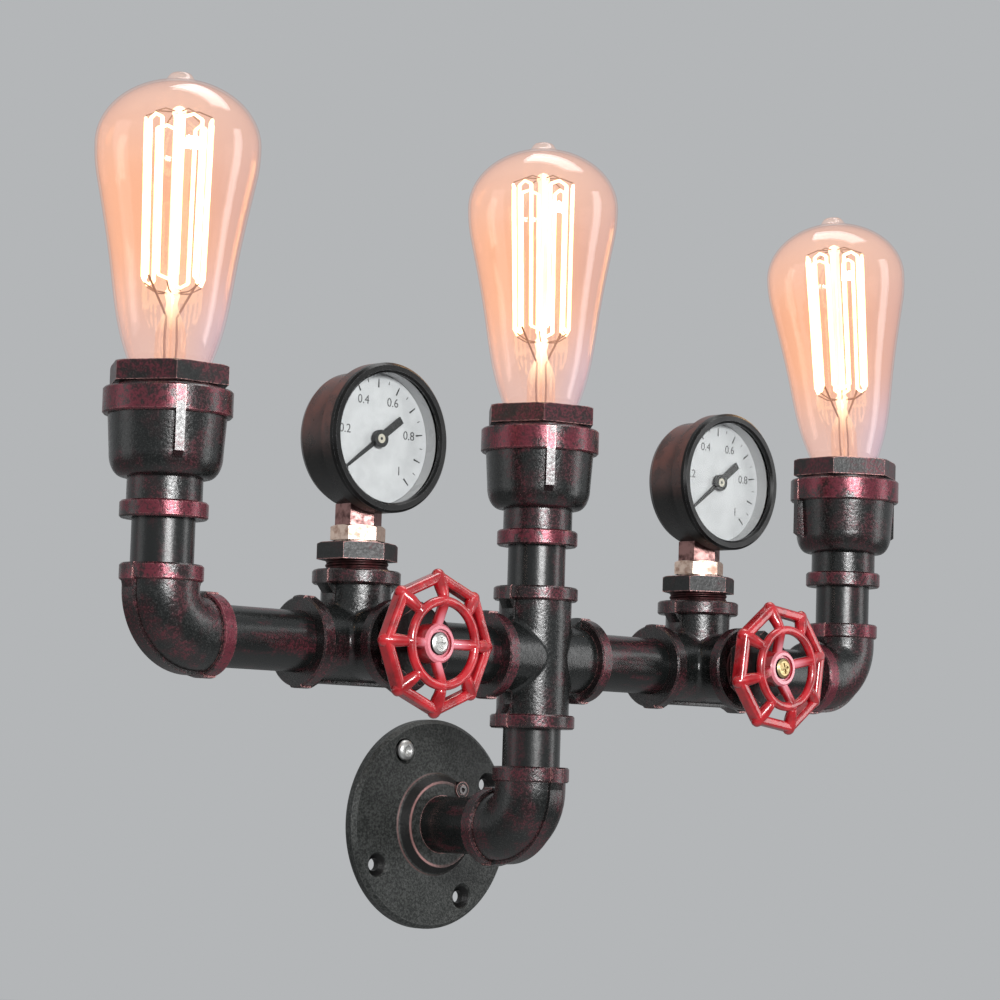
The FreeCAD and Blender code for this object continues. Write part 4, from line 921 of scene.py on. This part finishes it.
def wheel_knuckles(name, material):
    """The rounded swellings of one handwheel's bars."""
    middle = middle_of(name + "_handwheel")
    hub = Vector((middle.x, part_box(name + "_handwheel")[1].y, middle.z))
    points, faces = lathe(KNUCKLE_PROFILE, KNUCKLE_SIDES)
    swellings = []
    for number in range(KNUCKLES):
        turn = math.radians(WHEEL_TURN[name] + 360 * number / KNUCKLES)
        outwards = math.cos(turn) * RIGHT + math.sin(turn) * UP
        start, end = (hub + outwards * out + AHEAD * ahead for out, ahead in (KNUCKLE_START, KNUCKLE_END))
        place = Matrix.Translation(start) @ (end - start).to_track_quat("Z", "Y").to_matrix().to_4x4()
        swellings.append(([place @ point for point in points], faces))
    add_mesh(name + "_wheel_knuckles", merge(swellings), material, name + "_wheel")


# Wall screw in the flange's upper left hole: radius and distance from the wall, in millimetres

SCREW_SIDES = 40
SCREW_PROFILE = ((0.05, 0.2), (2.1, 0.2), (2.1, 2.7), (2.666, 3.3), (3.87, 4.9), (3.87, 5.5),
                 (3.268, 6.3), (2.15, 6.8), (1.634, 6.8), (1.462, 5.6), (0.05, 5.6))


def wall_screw(material):
    """A pan-head screw with a recess in one bolt hole."""
    add_mesh("wall_screw", lathe(SCREW_PROFILE, SCREW_SIDES), material, "frame",
             place=facing(bolt_hole(0), AHEAD))


# Dressing the CAD nodes

TEE_BAND = 5.0 * MM
ELBOW_BAND = 5.6 * MM
BELL_LOW_BAND = 5.7 * MM
BELL_TOP_BAND = 9.0 * MM


def dress(node, material):
    """Give a CAD node its finish."""
    made = NODES[node]
    made.data.materials.clear()
    made.data.materials.append(material)


def bands_on(width, *ways):
    """Bands of one width on several sides of a fitting."""
    return [(way, width) for way in ways]


def dress_iron():
    """Fittings, collars, bushings, pipes and flange."""
    # Bands, share rubbed elsewhere, spread of the rubbing, wear of the bands
    fittings = {"cross_fitting": (bands_on(TEE_BAND, UP, DOWN, LEFT, RIGHT), 0.5, 0.03, 0.7),
                "base_elbow": (bands_on(ELBOW_BAND, UP, WALL), 0.45, 0.08, 0.6),
                "left_elbow": (bands_on(ELBOW_BAND, UP, RIGHT), 0.5, 0.12, 1.0),
                "right_elbow": (bands_on(ELBOW_BAND, UP, LEFT), 0.5, 0.12, 1.0)}
    for name in SIDES:
        fittings[name + "_tee"] = (bands_on(TEE_BAND, UP, AHEAD, LEFT, RIGHT), 0.4, 0.02, 0.5)
    for lamp in LAMPS:
        ends = bands_on(BELL_TOP_BAND, UP) + bands_on(BELL_LOW_BAND, DOWN)
        fittings[lamp + "_bell_reducer"] = (ends, 0.45, 0.06, 1.0)
    for node, (bands, rubbed, spread, wear) in fittings.items():
        dress(node, cast_iron(node, bands, rubbed, spread, wear))
    for lamp in LAMPS:
        collar = lamp + "_hex_collar"
        dress(collar, cast_iron(collar, [], rubbed=0.6, spread=0.14, dull=0.12))
    for node in ("gauge_bushings", "wheel_bushings"):
        dress(node, cast_iron(node, [], rubbed=0.4, dull=0.16))
    for node in NODES:
        if node.endswith("_nipple"):
            dress(node, pipe_iron(node))
    dress("wall_flange", flange_iron("wall_flange"))


def dress_plain():
    """Nodes whose finish is the same on every one of their kind."""
    cap = turned_metal("cap_brass_bright")
    blued = turned_metal("spindle_steel_dark")
    single = {"flange_set_screw": blued, "lampholder_shells": cap, "lampholder_contacts": cap,
              "gauge_movements": cap, "gauge_lock_nuts": turned_metal("pale_brass"),
              "lamp_leads": cable_sheath()}
    paired = {"_wheel_spindle": blued, "_gauge_lens": lens_glass(), "_gauge_dial": dial_card(),
              "_gauge_stem": turned_metal("dark_copper")}
    on_lamps = {"_lampholder": porcelain(), "_bulb_cap": cap}
    for node, material in single.items():
        dress(node, material)
    for names, finishes in ((SIDES, paired), (LAMPS, on_lamps)):
        for name in names:
            for ending, material in finishes.items():
                dress(name + ending, material)


def dress_wheel(name):
    """One handwheel with its screw."""
    red = red_paint(name)
    screw = name + "_wheel_screw"
    dress(name + "_handwheel", red)
    dress(screw, turned_metal(WHEEL_SCREW_METALS[name], screw))
    wheel_knuckles(name, red)


def dress_gauge(name, tick_ink, number_ink):
    """One gauge's enamel, pointer and print."""
    dress(name + "_gauge_case", case_enamel(name, "case"))
    dress(name + "_gauge_bezel", case_enamel(name, "bezel"))
    dress(name + "_gauge_pointer", pointer_lacquer(name))
    dial_print(name, tick_ink, number_ink)


def dress_all():
    """Every CAD node's finish, and the fine pieces."""
    dress_iron()
    dress_plain()
    tick_ink = ink("tick_ink", TICK_BLACK)
    number_ink = ink("number_ink", NUMBER_GREY)
    for name in SIDES:
        dress_wheel(name)
        dress_gauge(name, tick_ink, number_ink)
    bushing_threads(turned_metal("thread_iron"))
    wall_screw(turned_metal("zinc_steel"))
    mount, glow, support = lit_mount(), hot_wire(), turned_metal("support_wire")
    for lamp in LAMPS:
        dress(lamp + "_bulb_glass", amber_glass(lamp))
        bulb_inside(lamp, mount, glow, support)


# Camera, light and floor. The camera was fitted to the photograph.

CAMERA_PLACE = (-0.8083974, -0.9071080, 0.0107272)
CAMERA_AZIMUTH = math.radians(42.8825)
CAMERA_RISE = math.radians(5.3446)
CAMERA_ROLL = math.radians(1.6831)
CAMERA_LENS = 114.476
CAMERA_SENSOR = 36.0
CAMERA_FAR = 100.0
# Level directions: to the camera's right, and from the light towards the camera
CAMERA_RIGHT = Vector((math.cos(CAMERA_AZIMUTH), -math.sin(CAMERA_AZIMUTH), 0))
TO_CAMERA = Vector((-math.sin(CAMERA_AZIMUTH), -math.cos(CAMERA_AZIMUTH), 0))
BACKGROUND = (0.456, 0.468, 0.479, 1.0)
WHITE = (1.0, 1.0, 1.0, 1.0)
WORLD_LIGHT = 0.26
FLOOR_HEIGHT = -0.90
FLOOR_RADIUS = 12.5
FLOOR_SIDES = 96
FLOOR_CLOUD = 0.8
FLOOR_TONES = ((0.60, 0.61, 0.62), (0.64, 0.65, 0.66))
TARGET = Vector((0.0, -0.06, 0.08))
# Each lamp: degrees right of the camera, degrees up, distance, width, height, watts
LAMP_PLACES = {"key": (20, 10, 1.30, 0.50, 0.20, 16.0), "strip": (91, 8, 1.10, 0.30, 1.0, 3.2),
               "top": (150, 74, 1.10, 0.80, 0.40, 4.5), "fill": (-76, 10, 1.20, 0.50, 0.9, 1.2)}


def add_camera():
    """The camera at the photograph's angle."""
    data = bpy.data.cameras.new("camera")
    data.lens = CAMERA_LENS
    data.sensor_width = CAMERA_SENSOR
    data.clip_end = CAMERA_FAR
    camera = add_object("camera", data)
    forward = math.sin(CAMERA_RISE) * UP - math.cos(CAMERA_RISE) * TO_CAMERA
    upward = CAMERA_RIGHT.cross(forward)
    across = math.cos(CAMERA_ROLL) * CAMERA_RIGHT + math.sin(CAMERA_ROLL) * upward
    above = math.cos(CAMERA_ROLL) * upward - math.sin(CAMERA_ROLL) * CAMERA_RIGHT
    turn = Matrix((across, above, -forward)).transposed().to_4x4()
    camera.matrix_world = Matrix.Translation(CAMERA_PLACE) @ turn
    bpy.context.scene.camera = camera


def add_lamps():
    """Soft lamps placed from the camera's side of the light."""
    for name, (right, rise, distance, width, height, watts) in LAMP_PLACES.items():
        data = bpy.data.lights.new(name, "AREA")
        data.shape = "RECTANGLE"
        data.size = width
        data.size_y = height
        data.energy = watts
        lamp = add_object(name, data)
        flat = math.cos(math.radians(right)) * TO_CAMERA + math.sin(math.radians(right)) * CAMERA_RIGHT
        way = math.cos(math.radians(rise)) * flat + math.sin(math.radians(rise)) * UP
        lamp.location = TARGET + way * distance
        lamp.rotation_mode = "QUATERNION"
        lamp.rotation_quaternion = way.to_track_quat("Z", "Y")
        lamp.visible_camera = False


def add_world():
    """One soft white light; the camera, gloss and glass see the background's grey."""
    world = bpy.data.worlds.new("studio")
    bpy.context.scene.world = world
    world.use_nodes = True
    tree = world.node_tree
    shown = tree.nodes["Background"]
    shown.inputs["Color"].default_value = BACKGROUND
    lit = tree.nodes.new("ShaderNodeBackground")
    lit.inputs["Color"].default_value = WHITE
    lit.inputs["Strength"].default_value = WORLD_LIGHT
    path = tree.nodes.new("ShaderNodeLightPath")
    seen = path.outputs["Is Camera Ray"]
    for ray in ("Is Glossy Ray", "Is Transmission Ray"):
        more = tree.nodes.new("ShaderNodeMath")
        more.operation = "MAXIMUM"
        tree.links.new(seen, more.inputs[0])
        tree.links.new(path.outputs[ray], more.inputs[1])
        seen = more.outputs[0]
    mix = tree.nodes.new("ShaderNodeMixShader")
    for socket, source in zip(mix.inputs, (seen, lit.outputs[0], shown.outputs[0])):
        tree.links.new(source, socket)
    tree.links.new(mix.outputs[0], tree.nodes["World Output"].inputs["Surface"])


def add_floor():
    """A plain pale floor, far below the light and out of the main view."""
    paint = Paint("floor")
    cloud = paint.noise(FLOOR_CLOUD, detail=2.0)
    paint.set(Base_Color=paint.blend(cloud, *FLOOR_TONES), Roughness=paint.varied(cloud, 0.75, 0.85))
    points = [around(turn, FLOOR_RADIUS, FLOOR_HEIGHT) for turn in ring_turns(FLOOR_SIDES)]
    mesh = bpy.data.meshes.new("floor")
    mesh.from_pydata(points, [], [tuple(range(FLOOR_SIDES))])
    mesh.materials.append(paint.material)
    floor = add_object("floor", mesh)


add_camera()
add_lamps()
add_world()
add_floor()
dress_all()
bpy.context.scene.view_settings.view_transform = "Standard"

bpy.context.view_layer.update()
